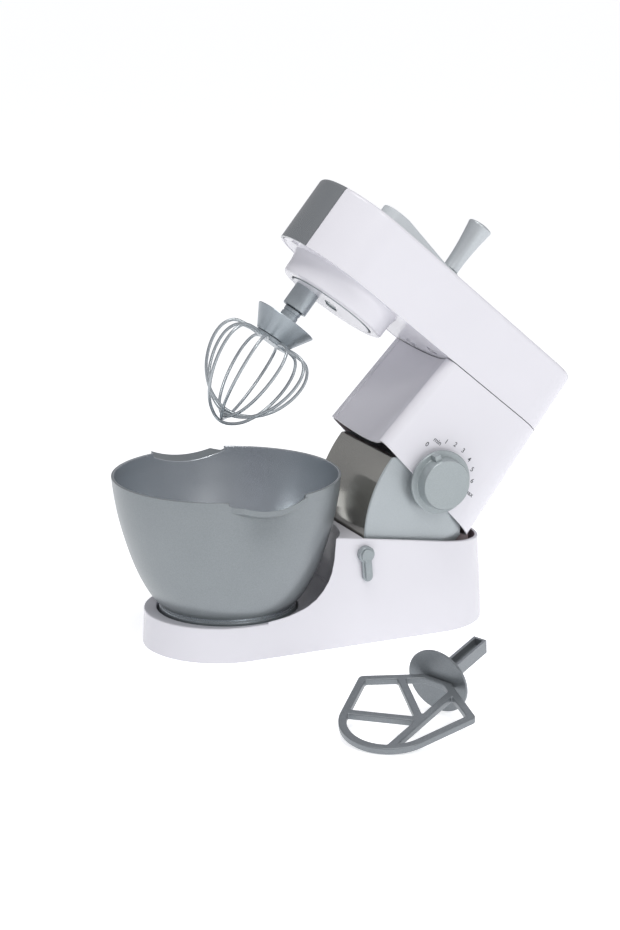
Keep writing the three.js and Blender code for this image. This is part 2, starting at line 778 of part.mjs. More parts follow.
// Solid form of the head with a rounded top edge, drawn in by a wall and run on below the parting line
function headForm(wall, below) {
  const foot = headOutline(wall, pillarRearHigh);
  const rounded = headEdgeAngles.map((angle) => {
    const shrink = headEdgeRound * (1 - Math.cos(radians(angle)));
    const sink = headEdgeRound * (1 - Math.sin(radians(angle)));
    return slopedLevel(headOutline(wall + shrink, headTopRearX), (x) => headTopAt(x) - wall - sink);
  });
  const deeper = below > 0 ? [slopedLevel(foot, (x) => partingAt(x) - below)] : [];
  return skinned([...deeper, slopedLevel(foot, partingAt), ...rounded]);
}

// Wedge about the nose's centre that holds the grey band, with its edges drawn in by a gap
function bandWedge(halfAngle, inner) {
  const reach = headHalfWidth + overrun;
  const arc = arcPoints(noseX, 0, reach, halfTurn - halfAngle, halfTurn + halfAngle, smallTurn);
  const wedge = raised([[noseX, 0], ...arc], 0, headTopZ + overrun);
  const core = movedTo(cylinder(inner, -overrun, headTopZ + overrun * 2, wideTurn), noseX, 0, 0);
  return wedge.subtract(core);
}

const bandInner = headHalfWidth - bandThickness;

const pillarScrewPlaces = () => [[pillarScrewX, -pillarScrewY], [pillarScrewX, pillarScrewY]];

function headScrewPlaces() {
  return [[noseScrewX, 0], [plateScrewX, -plateScrewY], [plateScrewX, plateScrewY]];
}

function headShell() {
  const shell = headForm(0, 0)
    .subtract(bandWedge(bandHalfAngle, bandInner - restGap))
    .subtract(headForm(headWall, overrun).subtract(bandBacking()));
  let whole = shell;
  for (const [x, y] of [...headScrewPlaces(), ...pillarScrewPlaces()]) {
    const low = partingAt(x) + plateInset + plateThickness + restGap * 2;
    const high = headTopAt(x) - headWall / 2;
    const boss = tube(headBossRadius, screwRadius + screwPilotGap, low, high, screwTurn);
    whole = whole.add(movedTo(boss, x, y, 0));
  }
  return whole.subtract(cylinder(bushRadius + restGap, partingZ, headTopZ + overrun, mediumTurn));
}

// Wall of the head behind the band
function bandBacking() {
  const reach = headHalfWidth + overrun;
  const wide = bandHalfAngle + backingMarginAngle;
  const arc = arcPoints(noseX, 0, reach, halfTurn - wide, halfTurn + wide, smallTurn);
  const wedge = raised([[noseX, 0], ...arc], partingZ, headTopZ + overrun);
  const core = cylinder(bandInner - restGap - headWall, -overrun, headTopZ + overrun * 2, wideTurn);
  return wedge.subtract(movedTo(core, noseX, 0, 0));
}

function noseBand() {
  const gapAngle = THREE.MathUtils.radToDeg(restGap / headHalfWidth);
  return headForm(0, 0).intersect(bandWedge(bandHalfAngle - gapAngle, bandInner));
}

function headUnderside() {
  const inset = headWall + restGap;
  const outline = headOutline(inset, pillarRearHigh);
  const plate = skinned([
    slopedLevel(outline, (x) => partingAt(x) + plateInset),
    slopedLevel(outline, (x) => partingAt(x) + plateInset + plateThickness),
  ]);
  const plateTop = partingZ + plateInset + plateThickness / 2;
  const skirt = skirtRadiusShares.map((share, i) => (
    [skirtRootRadius * share, THREE.MathUtils.lerp(skirtLowZ, skirtRootZ, skirtHeightShares[i])]
  ));
  const hub = turned(
    [[skirtBore, skirtLowZ], ...skirt, [skirtRootRadius, plateTop], [skirtBore, plateTop],
      [skirtBore, skirtLowZ]],
    wideTurn,
  );
  let shape = plate.add(hub).subtract(cylinder(shaftRadius + runGap, 0, headTopZ, smallTurn));
  for (const [x, y] of [...headScrewPlaces(), ...pillarScrewPlaces()]) {
    shape = shape.subtract(movedTo(cylinder(screwRadius + restGap, 0, headTopZ, screwTurn), x, y, 0));
  }
  const noseClear = bandWedge(bandHalfAngle + plateNoseMarginAngle, bandInner - restGap - headWall - restGap);
  return shape.subtract(noseClear);
}

// Wedge about the hinge axis, between two angles, at the nose side
function hingeWedge(radius, lowAngle, highAngle, lowY, highY) {
  const arc = arcPoints(pivotX, pivotZ, radius, halfTurn - highAngle, halfTurn - lowAngle, mediumTurn);
  return spread([[pivotX, pivotZ], ...arc], lowY, highY);
}

// Disc about the hinge axis with chamfered rims
function hingeDisc(radius, half, chamfer) {
  return turned(
    [[0, -half], [radius - chamfer, -half], [radius, chamfer - half], [radius, half - chamfer],
      [radius - chamfer, half], [0, half]],
    drumTurn,
  ).rotate([quarterTurn, 0, 0]).translate([pivotX, 0, pivotZ]);
}

// Space that the drum may fill: inside the pillar, and inside the base in both end poses
function drumLimits(inset) {
  const baseInset = baseWall + runGap + inset;
  const tall = baseTopLimit + overrun * 2;
  const insideBase = skinned([
    level(baseOutline(baseInset), -overrun),
    level(baseOutline(baseInset), 0),
    level(baseOutline(baseInset + baseInsetAt(baseTopLimit)), baseTopLimit),
    level(baseOutline(baseInset + baseInsetAt(baseTopLimit)), tall),
  ]);
  const insideWhenOpen = insideBase
    .translate([-pivotX, 0, -pivotZ])
    .rotate([0, -openAngle, 0])
    .translate([pivotX, 0, pivotZ]);
  const insidePillar = raised(pillarRearOutline(headWall + restGap + inset), -overrun, tall);
  return insidePillar.intersect(insideBase).intersect(insideWhenOpen);
}

// The pillar's inner outline with its scoop left out, for what lies below the pillar
function pillarRearOutline(inset) {
  const half = headHalfWidth - inset;
  const corner = pillarCornerRadius - inset;
  const rear = pillarRearHigh - inset;
  return [
    [0, half], [0, -half],
    ...arcPoints(rear - corner, corner - half, corner, -90, 0, cornerSteps),
    ...arcPoints(rear - corner, half - corner, corner, 0, 90, cornerSteps),
  ];
}

// Grey sector that closes the gap between the pillar and the base when the head tilts
function hingeDrum() {
  const reach = drumRadius + overrun;
  const side = drumHalfWidth + overrun;
  const inner = drumHalfWidth - drumWall;
  const sector = hingeWedge(reach, drumLowAngle, drumHighAngle, -side, side);
  const cheekRear = pillarRearHigh - headWall - restGap - drumWall;
  const cheeks = hingeWedge(reach, drumCheekAngle, 0, -side, side)
    .intersect(box(0, cheekRear, -side, side, 0, baseTopLimit));
  const mouth = hingeWedge(reach, drumCheekAngle - drumMouthAngle, drumHighAngle + drumMouthAngle, -side, side);
  const core = crossCylinder(drumInnerRadius, pivotX, pivotZ, -side, side, mediumTurn);
  const outer = hingeDisc(drumRadius, drumHalfWidth, drumChamfer).intersect(sector)
    .add(hingeDisc(drumCheekRadius, drumHalfWidth, 0).intersect(cheeks))
    .subtract(core);
  const hollow = hingeDisc(drumRadius - drumWall, inner, 0).intersect(mouth);
  const shell = outer.intersect(drumLimits(0)).subtract(hollow.intersect(drumLimits(drumWall)));
  const webs = [-1, 1].map((way) => {
    const near = way < 0 ? -knuckleHalfWidth : knuckleHalfWidth - drumWebThickness;
    const low = drumLowAngle + drumWebStopAngle;
    const high = drumHighAngle - drumWebStopAngle;
    return hingeWedge(drumRadius - drumWall / 2, low, high, near, near + drumWebThickness);
  });
  const knuckleSide = knuckleHalfWidth;
  const knuckle = crossCylinder(knuckleRadius, pivotX, pivotZ, -knuckleSide, knuckleSide, mediumTurn);
  const bore = crossCylinder(axleRadius + earHoleGap, pivotX, pivotZ, -side, side, smallTurn);
  const dialClear = crossCylinder(dialClearRadius, dialX, dialZ, -side, -inner + overrun, mediumTurn);
  return shell.add(webs[0]).add(webs[1]).add(knuckle).subtract(bore).subtract(dialClear);
}

// Gears with straight-flanked teeth
function gearOutline(teeth, tipRadius, rootRadius, toothAt) {
  const points = [];
  const pitch = 360 / teeth;
  for (let i = 0; i < teeth; i += 1) {
    const centre = toothAt + i * pitch;
    const places = [[rootRadius, -toothHalfRootShare], [tipRadius, -toothHalfTipShare],
      [tipRadius, toothHalfTipShare], [rootRadius, toothHalfRootShare]];
    for (const [radius, share] of places) points.push(polar(0, 0, radius, centre + share * pitch));
  }
  return points;
}

function ringGear() {
  const tip = ringPitchRadius - addendumShare * gearModule;
  const root = ringPitchRadius + dedendumShare * gearModule;
  const halfPitchAngle = halfTurn / gearRingTeeth;
  const space = gearOutline(gearRingTeeth, tip, root, spindleAngle + halfPitchAngle);
  const rim = cylinder(ringRimRadius, gearZ, gearZ + gearWidth, wideTurn);
  return rim.subtract(raised(space, gearZ - overrun, gearZ + gearWidth + overrun));
}

function planetGear() {
  const root = planetPitchRadius - dedendumShare * gearModule;
  const outline = gearOutline(gearPlanetTeeth, planetTipRadius, root, spindleAngle);
  const gear = raised(outline, gearZ + restGap, gearZ + gearWidth - restGap);
  const bore = cylinder(stemRadius + restGap, gearZ - overrun, gearZ + gearWidth + overrun, smallTurn);
  return gear.subtract(bore);
}

// Hand drive
function crankBush() {
  const bore = shaftRadius + restGap;
  const low = headTopZ - headWall * 2;
  const flangeLow = headTopAt(-bushFlangeRadius) + restGap;
  const flangeHigh = flangeLow + bushFlangeHeight;
  return turned(
    [[bore, low], [bushRadius, low], [bushRadius, flangeLow], [bushFlangeRadius, flangeLow],
      [bushFlangeRadius, flangeHigh], [bore, flangeHigh], [bore, low]],
    mediumTurn,
  );
}

function hullOutline(firstX, firstRadius, secondX, secondRadius) {
  const angle = THREE.MathUtils.radToDeg(Math.acos((firstRadius - secondRadius) / (secondX - firstX)));
  return [
    ...arcPoints(firstX, 0, firstRadius, angle, 360 - angle, mediumTurn),
    ...arcPoints(secondX, 0, secondRadius, -angle, angle, smallTurn),
  ];
}

function crankArm() {
  const blank = raised(hullOutline(0, crankBossRadius, crankReach, crankEndRadius), crankLow, crankBossTop);
  const slopeEnd = crankReach - crankEndRadius;
  const far = crankReach + crankEndRadius + overrun;
  const high = crankBossTop + overrun;
  const above = spread(
    [[crankSlopeStart, crankBossTop], [slopeEnd, crankEndTop], [far, crankEndTop], [far, high],
      [crankSlopeStart, high]],
    -crankBossRadius - overrun, crankBossRadius + overrun,
  );
  const socket = cylinder(shaftKeyRadius + restGap, crankLow - overrun, crankBossTop - headWall, smallTurn);
  const pinHole = cylinder(pinRadius + restGap, crankLow - overrun, crankBossTop + overrun, smallTurn);
  return blank.subtract(above).subtract(socket).subtract(movedTo(pinHole, crankReach, 0, 0));
}

function crankShaft() {
  const low = carrierZ + carrierThickness + restGap;
  const step = crankLow - restGap;
  const top = crankBossTop - headWall - restGap;
  return turned(
    [[0, low], [shaftRadius, low], [shaftRadius, step], [shaftKeyRadius, step], [shaftKeyRadius, top],
      [0, top]],
    smallTurn,
  ).subtract(cylinder(screwRadius + screwPilotGap, carrierZ, carrierZ + screwLength + overrun, screwTurn));
}

function knobPin() {
  return cylinder(pinRadius, crankLow, knobLowZ + knobBoreDepth - runGap, smallTurn);
}

function crankKnob() {
  const top = knobLowZ + knobHeight;
  const waist = knobLowZ + knobHeight * knobWaistShare;
  const bore = pinRadius + restGap;
  return turned(
    [[bore, knobLowZ], [knobBaseRadius, knobLowZ], [knobWaistRadius, waist], [knobTopRadius, top - knobDish],
      [knobTopRadius - knobDish, top], [knobTopRadius / 2, top - knobDish / 2], [0, top - knobDish],
      [0, knobLowZ + knobBoreDepth], [bore, knobLowZ + knobBoreDepth], [bore, knobLowZ]],
    mediumTurn,
  );
}

// Spindle position in the hub
const spindleX = spindleOffset * Math.cos(radians(spindleAngle));
const spindleY = spindleOffset * Math.sin(radians(spindleAngle));

function carrierDisc() {
  const top = carrierZ + carrierThickness;
  const plate = cylinder(carrierRadius, carrierZ, top, wideTurn);
  const hub = cylinder(carrierHubRadius, carrierZ, carrierHubTop, mediumTurn);
  const bore = cylinder(shaftRadius + restGap, top, carrierHubTop + overrun, smallTurn);
  const half = (slotLength - slotWidth) / 2;
  const slotOutline = hullOutline(-half, slotWidth / 2, half, slotWidth / 2);
  const slot = raised(slotOutline, carrierZ - overrun, carrierZ + slotDepth).rotate([0, 0, spindleAngle]);
  const screwHole = cylinder(screwRadius + restGap, carrierZ - overrun, carrierHubTop, screwTurn);
  const stemHole = cylinder(stemRadius + restGap, carrierZ - overrun, carrierHubTop, smallTurn);
  return plate.add(hub).subtract(bore).subtract(slot).subtract(screwHole)
    .subtract(movedTo(stemHole, spindleX, spindleY, 0));
}

function carrierScrew() {
  const low = carrierZ + restGap;
  const neck = carrierZ + slotDepth - restGap / 2;
  const tip = carrierZ + screwLength;
  return turned(
    [[0, low], [screwHeadRadius, low], [screwHeadRadius, neck], [screwRadius, neck], [screwRadius, tip],
      [0, tip]],
    screwTurn,
  );
}

function spindleSocket() {
  const top = carrierZ - restGap;
  const mouth = socketMouthZ;
  const roof = mouth + socketBoreDepth;
  return turned(
    [[socketBore, mouth], [socketRadius, mouth], [socketRadius, top], [stemRadius, top], [stemRadius, stemTop],
      [0, stemTop], [0, roof], [socketBore, roof], [socketBore, mouth]],
    mediumTurn,
  ).subtract(clipGroove());
}

// Groove round the spindle's stem that takes the clip above the planet gear
const clipLow = gearZ + gearWidth + restGap;
const clipHigh = clipLow + clipThickness;
const clipGrooveRadius = stemRadius - clipGrooveDepth;

function clipGroove() {
  const play = restGap / 2;
  return tube(stemRadius + overrun, clipGrooveRadius, clipLow - play, clipHigh + play, smallTurn);
}

function spindleClip() {
  const ring = tube(stemRadius + clipRimWidth, clipGrooveRadius + restGap / 2, clipLow, clipHigh, smallTurn);
  const half = clipGrooveRadius / 2;
  return ring.subtract(box(0, stemRadius + overrun, -half, half, clipLow - overrun, clipLow + overrun));
}

// Whisk pieces, along their own axis
function whiskCollar() {
  return turned(
    [[0, whiskStemLength], [whiskStemRadius, whiskStemLength], [whiskStemRadius, -restGap],
      [neckRadius, -restGap], [neckRadius, neckGrooveTop], [neckGrooveRadius, neckGrooveTop],
      [neckGrooveRadius, neckGrooveLow], [neckRadius, neckGrooveLow], [neckRadius, collarDishZ],
      [collarRimRadius - collarRimThickness, collarRimZ], [collarRimRadius, collarRimZ],
      [collarLowRadius, collarLowZ], [0, collarLowZ]],
    mediumTurn,
  );
}

function whiskCap() {
  return cylinder(capRadius, collarLowZ - restGap - capThickness, collarLowZ - restGap, mediumTurn);
}

function whiskWire(index) {
  const length = cageLength - index * wireStack;
  const side = wireRadiusShares.map((share, i) => (
    new THREE.Vector3(share * cageRadius, 0, wireRootZ - wireDropShares[i] * length)
  ));
  const root = new THREE.Vector3(capRadius + restGap, 0, wireRootZ);
  const tip = new THREE.Vector3(0, 0, wireRootZ - length);
  const mirrored = [root, ...side].map((point) => new THREE.Vector3(-point.x, 0, point.z)).reverse();
  const route = new THREE.CatmullRomCurve3([root, ...side, tip, ...mirrored]);
  const section = new THREE.Shape();
  section.absarc(0, 0, wireRadius, 0, Math.PI * 2);
  const geometry = new THREE.ExtrudeGeometry(section, {
    steps: wireSteps, extrudePath: route, bevelEnabled: false, curveSegments: wireSides,
  });
  const turn = firstWireAngle + (index * halfTurn) / wireLoops;
  return solid(geometry).rotate([0, 0, turn]);
}

// Dial pieces, with the axis along Z and the front at the top
function dialKnob() {
  const inside = -headWall / 2;
  const back = dialStandOff;
  const flangeTop = back + dialFlangeThickness;
  const front = flangeTop + dialKnobHeight;
  const bore = dialAxleRadius + restGap;
  const shoulder = dialKnobRadius - dialKnobTaper;
  const body = turned(
    [[bore, inside], [dialBossRadius, inside], [dialBossRadius, back], [dialFlangeRadius - runGap, back],
      [dialFlangeRadius, back + runGap], [dialFlangeRadius, flangeTop], [dialKnobRadius, flangeTop],
      [shoulder, front - dialKnobTaper], [shoulder - dialKnobTaper, front], [0, front],
      [0, flangeTop], [bore, flangeTop], [bore, inside]],
    mediumTurn,
  );
  const half = pointerWidth / 2;
  const low = flangeTop - restGap;
  const pointer = box(dialKnobRadius / 2, pointerReach, -half, half, low, front - pointerDrop);
  return body.add(pointer.rotate([0, 0, halfTurn - dialZeroAngle]));
}

function dialAxle() {
  const tip = dialStandOff + dialFlangeThickness - restGap;
  return cylinder(dialAxleRadius, clickLow - runGap, tip, smallTurn);
}

const clickHigh = -headWall - runGap;
const clickLow = clickHigh - clickThickness;

function clickWheel() {
  const points = [];
  for (let i = 0; i < clickTeeth; i += 1) {
    const pitch = 360 / clickTeeth;
    points.push(...arcPoints(0, 0, clickRadius, i * pitch, i * pitch + pitch / 4, 1));
    points.push(polar(0, 0, clickRadius - clickDepth, i * pitch + pitch / 2));
  }
  const bore = cylinder(dialAxleRadius + restGap, -overrun, 0, smallTurn);
  return raised(points, clickLow, clickHigh).subtract(bore);
}

// Springy arm fixed to the pillar's wall that clicks over the wheel
function detentSpring() {
  const low = clickRadius + restGap;
  const half = detentLength / 2;
  const arm = box(-half, half, low, low + detentThickness, clickLow, clickHigh);
  const footWidth = detentWidth * 2;
  const foot = box(half - footWidth, half, low, low + footWidth, clickLow, clickHigh + runGap - restGap);
  return arm.add(foot);
}

// Lock lever, along the axis of its shaft, hanging straight down
function leverOutline(inset) {
  const half = leverArmWidth / 2 - inset;
  const boss = leverBossRadius - inset;
  const bossAngle = THREE.MathUtils.radToDeg(Math.asin(half / boss));
  const end = leverLength - half - inset;
  return [
    ...arcPoints(0, 0, boss, bossAngle - quarterTurn, halfTurn + quarterTurn - bossAngle, mediumTurn),
    ...arcPoints(0, -end, half, halfTurn, halfTurn * 2, smallTurn),
  ];
}

function lockLever() {
  const wallOuter = baseHalfWidthAt(leverX, leverZ - leverLength) + runGap;
  const wallInner = pawlWallInner();
  const plate = spread(leverOutline(0), -wallOuter - leverPlate, -wallOuter);
  const ridge = spread(leverOutline(leverRidgeInset), -wallOuter - leverPlate - leverRidge, -wallOuter);
  const shaftEnd = pawlThickness + runGap * 2 - wallInner;
  const shaft = crossCylinder(leverShaftRadius, 0, 0, -wallOuter - leverPlate, shaftEnd, smallTurn);
  return plate.add(ridge).add(shaft);
}

// Half width between the base's walls, at the narrowest place that the pawl reaches
function pawlWallInner() {
  const farX = leverX + pawlLength + pawlRadius;
  return baseHalfWidthAt(farX, leverZ + pawlRadius) - baseWall;
}

function latchPawl() {
  const near = runGap - pawlWallInner();
  const outline = hullOutline(0, pawlRadius, pawlLength, pawlRadius / 2);
  const bore = crossCylinder(leverShaftRadius + restGap / 2, 0, 0, -headHalfWidth - overrun, 0, smallTurn);
  return spread(outline, near, near + pawlThickness).subtract(bore);
}

// Bowl
function bowlBody() {
  const outer = bowlRadii.map((radius, i) => [radius, bowlHeights[i]]);
  const shoulder = bowlHeights.findIndex((height) => height > bowlFloorZ + bowlWall) + 1;
  const inner = outer.slice(shoulder).map(([radius, height]) => [radius - bowlWall, height]).reverse();
  const under = bowlFloorZ - bowlWall;
  return turned(
    [[0, under], [bowlRadii[0] - bowlWall, under], ...outer, ...inner, [bowlFloorRadius, bowlFloorZ],
      [0, bowlFloorZ]],
    wideTurn,
  );
}

// A finger notch at the -Y side of the rim: two steps down, a shallow arc between, all rising outwards
function notchRoom(drop) {
  const half = bowlRimRadius * Math.sin(radians(notchHalfAngle));
  const floor = bowlRimZ - notchStep - drop;
  const arc = [];
  for (let i = 0; i <= notchSteps; i += 1) {
    const share = (i / notchSteps) * 2 - 1;
    const retreat = bowlRimRadius - Math.sqrt(bowlRimRadius ** 2 - (share * half) ** 2);
    arc.push([share * half, floor + notchRise * retreat - notchDip * (1 - share * share)]);
  }
  const high = bowlRimZ + bowlRimRadius;
  const room = spread([[-half, high], ...arc, [half, high]], -lipReach - overrun, bowlRimRadius / 2);
  const lean = new THREE.Matrix4().makeShear(0, 0, 0, -notchRise, 0, 0);
  return room.transform(lean.elements).translate([0, -bowlRimRadius, 0]);
}

// Lip round the notch: it stands out beyond the wall and slants back to it at both ends
function notchLip() {
  const half = bowlRimRadius * Math.sin(radians(notchHalfAngle));
  const wall = bowlRimRadius * Math.cos(radians(notchHalfAngle)) - bowlWall;
  const out = bowlRimRadius + lipReach;
  const low = bowlRimZ - 2 * (notchStep + notchDip);
  const plan = [[-half, -wall], [lipTaper - half, -out], [half - lipTaper, -out], [half, -wall]];
  const ring = cylinder(out, low, bowlRimZ, wideTurn)
    .subtract(cylinder(bowlRimRadius - bowlWall, low - overrun, bowlRimZ + overrun, wideTurn));
  return raised(plan, low, bowlRimZ).intersect(ring).intersect(notchRoom(lipDepth));
}

function bowl() {
  const halfTurn = [0, 0, 180];
  const rooms = notchRoom(0).add(notchRoom(0).rotate(halfTurn));
  return bowlBody().add(notchLip()).add(notchLip().rotate(halfTurn)).subtract(rooms);
}

// Beater blade: outline drawn in by an inset
function bladeOutline(inset) {
  const reach = Math.hypot(bladeShoulderX - bladeArcX, bladeShoulderY);
  const lean = Math.atan2(bladeShoulderY, bladeShoulderX - bladeArcX);
  const tangent = lean + Math.acos(bladeArcRadius / reach);
  const tangentAngle = THREE.MathUtils.radToDeg(tangent);
  const sideNormal = [Math.cos(tangent), Math.sin(tangent)];
  const run = [bladeTopX - bladeShoulderX, bladeTopY - bladeShoulderY];
  const runLength = Math.hypot(run[0], run[1]);
  const topNormal = [-run[1] / runLength, run[0] / runLength];
  const sideReach = sideNormal[0] * bladeArcX + bladeArcRadius - inset;
  const topReach = topNormal[0] * bladeShoulderX + topNormal[1] * bladeShoulderY - inset;
  const across = sideNormal[0] * topNormal[1] - sideNormal[1] * topNormal[0];
  const shoulder = [
    (sideReach * topNormal[1] - topReach * sideNormal[1]) / across,
    (topReach * sideNormal[0] - sideReach * topNormal[0]) / across,
  ];
  const apex = [topReach / topNormal[0], 0];
  return [
    apex, shoulder,
    ...arcPoints(bladeArcX, 0, bladeArcRadius - inset, tangentAngle, 360 - tangentAngle, mediumTurn),
    [shoulder[0], -shoulder[1]],
  ];
}

// Straight rib of the blade between two places
function bar(fromX, fromY, toX, toY, width) {
  const length = Math.hypot(toX - fromX, toY - fromY);
  const acrossX = ((fromY - toY) / length) * (width / 2);
  const acrossY = ((toX - fromX) / length) * (width / 2);
  const outline = [
    [fromX + acrossX, fromY + acrossY],
    [fromX - acrossX, fromY - acrossY],
    [toX - acrossX, toY - acrossY],
    [toX + acrossX, toY + acrossY],
  ];
  return raised(outline, -bladeThickness / 2, bladeThickness / 2);
}

function beaterBlade() {
  const half = bladeThickness / 2;
  const outer = raised(bladeOutline(0), -half, half);
  const inner = raised(bladeOutline(bladeBar), -half - overrun, half + overrun);
  const spineLow = bladeArcX - Math.sqrt((bladeArcRadius - bladeBar / 2) ** 2 - spineY ** 2);
  const spine = bar(spineLow, spineY, -bladeHubLength, spineY, bladeBar);
  const upper = bar(armJointX, armJointY, upperArmX, upperArmY, bladeBar);
  const lower = bar(armJointX, armJointY, lowerArmX, lowerArmY, bladeBar);
  const ribs = spine.add(upper).add(lower).intersect(outer);
  const hubHalf = bladeHubHalfWidth;
  const hub = box(-bladeHubLength * 2, -beaterDiscThickness, -hubHalf, hubHalf, -half, half);
  const front = box(-restGap, overrun, -overrun * 3, overrun * 3, -overrun, overrun);
  return outer.subtract(inner).add(ribs).add(hub.subtract(front)).subtract(front);
}

function beaterShaft() {
  const middle = beaterDiscRadius / 2;
  const rim = beaterDiscThickness / 2;
  const disc = turned(
    [[0, 0], [middle, 0], [beaterDiscRadius, -rim], [beaterDiscRadius, rim], [middle, beaterDiscThickness],
      [0, beaterDiscThickness]],
    mediumTurn,
  ).rotate([0, quarterTurn, 0]);
  const half = beaterShaftWidth / 2;
  const stem = box(0, beaterTip, -half, half, -half, half);
  const open = half - beaterShaftWall;
  const channel = box(beaterDiscDish, beaterTip - beaterShaftWall, -open, open, 0, half + overrun);
  return disc.add(stem.subtract(channel));
}

// Assembly
const mixer = new THREE.Group();

// Fixed pieces of the base
piece(mixer, 'base_shell', baseShell(), whitePlastic);
piece(mixer, 'base_cover', baseCover(), whitePlastic);
const footPad = cylinder(padRadius, 0, padThickness, mediumTurn);
padPlaces().forEach(([x, y], i) => {
  piece(mixer, `foot_pad_${i + 1}`, footPad, blackFoam).position.set(x, y, 0);
});
coverScrewPlaces().forEach(([x, y], i) => {
  piece(mixer, `base_screw_${i + 1}`, screw(screwLength), steel).position.set(x, y, restGap);
});
piece(mixer, 'hinge_bracket', hingeBracket(), plainAcetal);
bracketScrewPlaces().forEach(([x, y], i) => {
  piece(mixer, `bracket_screw_${i + 1}`, screw(screwLength), steel).position.set(x, y, restGap);
});
piece(mixer, 'pivot_axle', pivotAxle(), steel);
piece(mixer, 'axle_clip_1', axleClip(-1), steel);
piece(mixer, 'axle_clip_2', axleClip(1), steel);

// Lock lever and its pawl
const lever = new THREE.Group();
lever.position.set(leverX, 0, leverZ);
lever.rotation.y = radians(-leverTiltAngle);
mixer.add(lever);
piece(lever, 'lock_lever', lockLever(), silverPlastic);
piece(lever, 'latch_pawl', latchPawl(), plainAcetal);

// Bowl
piece(mixer, 'bowl', bowl(), silverPlastic);

// Tilting head: drawn closed, then turned open about the pivot
const tilt = new THREE.Group();
tilt.position.set(pivotX, 0, pivotZ);
tilt.rotation.y = radians(openAngle);
mixer.add(tilt);
const head = new THREE.Group();
head.position.set(-pivotX, 0, -pivotZ);
tilt.add(head);
piece(head, 'pillar_shell', pillarShell(), whitePlastic);
piece(head, 'head_shell', headShell(), whitePlastic);
piece(head, 'nose_band', noseBand(), darkSilverPlastic);
piece(head, 'head_underside', headUnderside(), whitePlastic);
piece(head, 'hinge_drum', hingeDrum(), oliveGreyPlastic);
piece(head, 'ring_gear', ringGear(), plainAcetal);
piece(head, 'crank_bush', crankBush(), plainAcetal);
headScrewPlaces().forEach(([x, y], i) => {
  const height = partingAt(x) + plateInset - screwHeadHeight - restGap;
  piece(head, `head_screw_${i + 1}`, screw(screwLength), steel).position.set(x, y, height);
});
pillarScrewPlaces().forEach(([x, y], i) => {
  const height = partingAt(x) - partingGroove - pillarDeck - screwHeadHeight - restGap * 2;
  piece(head, `pillar_screw_${i + 1}`, screw(screwLength + pillarDeck), steel).position.set(x, y, height);
});

// Crank, carrier and knob
const crank = new THREE.Group();
head.add(crank);
piece(crank, 'crank_arm', crankArm(), paleGreyPlastic);
piece(crank, 'crank_shaft', crankShaft(), plainAcetal);
piece(crank, 'carrier_disc', carrierDisc(), whitePlastic);
piece(crank, 'carrier_screw', carrierScrew(), steel);
piece(crank, 'knob_pin', knobPin(), steel).position.x = crankReach;
piece(crank, 'crank_knob', crankKnob(), silverPlastic).position.x = crankReach;

// Spindle that carries the tool
const spindle = new THREE.Group();
spindle.position.set(spindleX, spindleY, 0);
crank.add(spindle);
piece(spindle, 'spindle_socket', spindleSocket(), silverPlastic);
piece(spindle, 'planet_gear', planetGear(), plainAcetal);
piece(spindle, 'spindle_clip', spindleClip(), steel);

// Whisk, hanging a little out of line in its loose socket
const whisk = new THREE.Group();
whisk.position.set(0, 0, socketMouthZ);
whisk.rotation.y = radians(-whiskDroopAngle);
spindle.add(whisk);
piece(whisk, 'whisk_collar', whiskCollar(), silverPlastic);
piece(whisk, 'whisk_cap', whiskCap(), darkSilverPlastic);
for (let i = 0; i < wireLoops; i += 1) {
  piece(whisk, `whisk_wire_${i + 1}`, whiskWire(i), silverPlastic);
}

// Speed dial on the near side of the pillar
const dial = new THREE.Group();
dial.position.set(dialX, -headHalfWidth, dialZ);
dial.rotation.x = Math.PI / 2;
head.add(dial);
piece(dial, 'dial_knob', dialKnob(), silverPlastic);
piece(dial, 'dial_axle', dialAxle(), plainAcetal);
piece(dial, 'click_wheel', clickWheel(), plainAcetal);
piece(dial, 'detent_spring', detentSpring(), steel);

// Loose beater, leaning on its guard disc's rim and its blade's round end, let down onto the floor
const beater = new THREE.Group();
beater.rotation.set(radians(beaterRollAngle), radians(-beaterPitchAngle), radians(beaterYawAngle), 'ZYX');
mixer.add(beater);
piece(beater, 'beater_blade', beaterBlade(), beaterPlastic);
piece(beater, 'beater_shaft', beaterShaft(), beaterPlastic);
const beaterLow = new THREE.Box3().setFromObject(beater, true).min.z;
beater.position.set(beaterX, beaterY, -beaterLow);

export default mixer;
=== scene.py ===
import math

import bmesh
import bpy
from mathutils import Matrix, Vector


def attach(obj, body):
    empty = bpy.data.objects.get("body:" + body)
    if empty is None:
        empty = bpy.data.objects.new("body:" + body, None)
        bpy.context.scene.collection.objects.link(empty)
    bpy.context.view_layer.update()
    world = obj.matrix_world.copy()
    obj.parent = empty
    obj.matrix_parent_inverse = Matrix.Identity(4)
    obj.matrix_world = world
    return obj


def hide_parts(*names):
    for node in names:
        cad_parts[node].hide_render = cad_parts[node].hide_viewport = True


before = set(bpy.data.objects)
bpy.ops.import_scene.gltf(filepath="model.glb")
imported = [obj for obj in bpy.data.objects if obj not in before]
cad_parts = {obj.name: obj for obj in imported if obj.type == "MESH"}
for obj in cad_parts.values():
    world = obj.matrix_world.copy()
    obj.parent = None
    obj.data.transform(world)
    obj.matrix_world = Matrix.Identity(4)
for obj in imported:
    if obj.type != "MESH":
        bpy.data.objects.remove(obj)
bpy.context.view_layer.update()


# Studio: a glowing white sweep, a surround that is brighter above and on the right, one soft box
# above the camera and one overhead, which is how a catalogue picture of a white toy is lit.
def linear(colour):
    """Turns an sRGB hex colour into the linear values that shaders work in."""
    parts = [int(colour[i:i + 2], 16) / 255 for i in (1, 3, 5)]
    return [p / 12.92 if p <= 0.04045 else ((p + 0.055) / 1.055) ** 2.4 for p in parts] + [1.0]


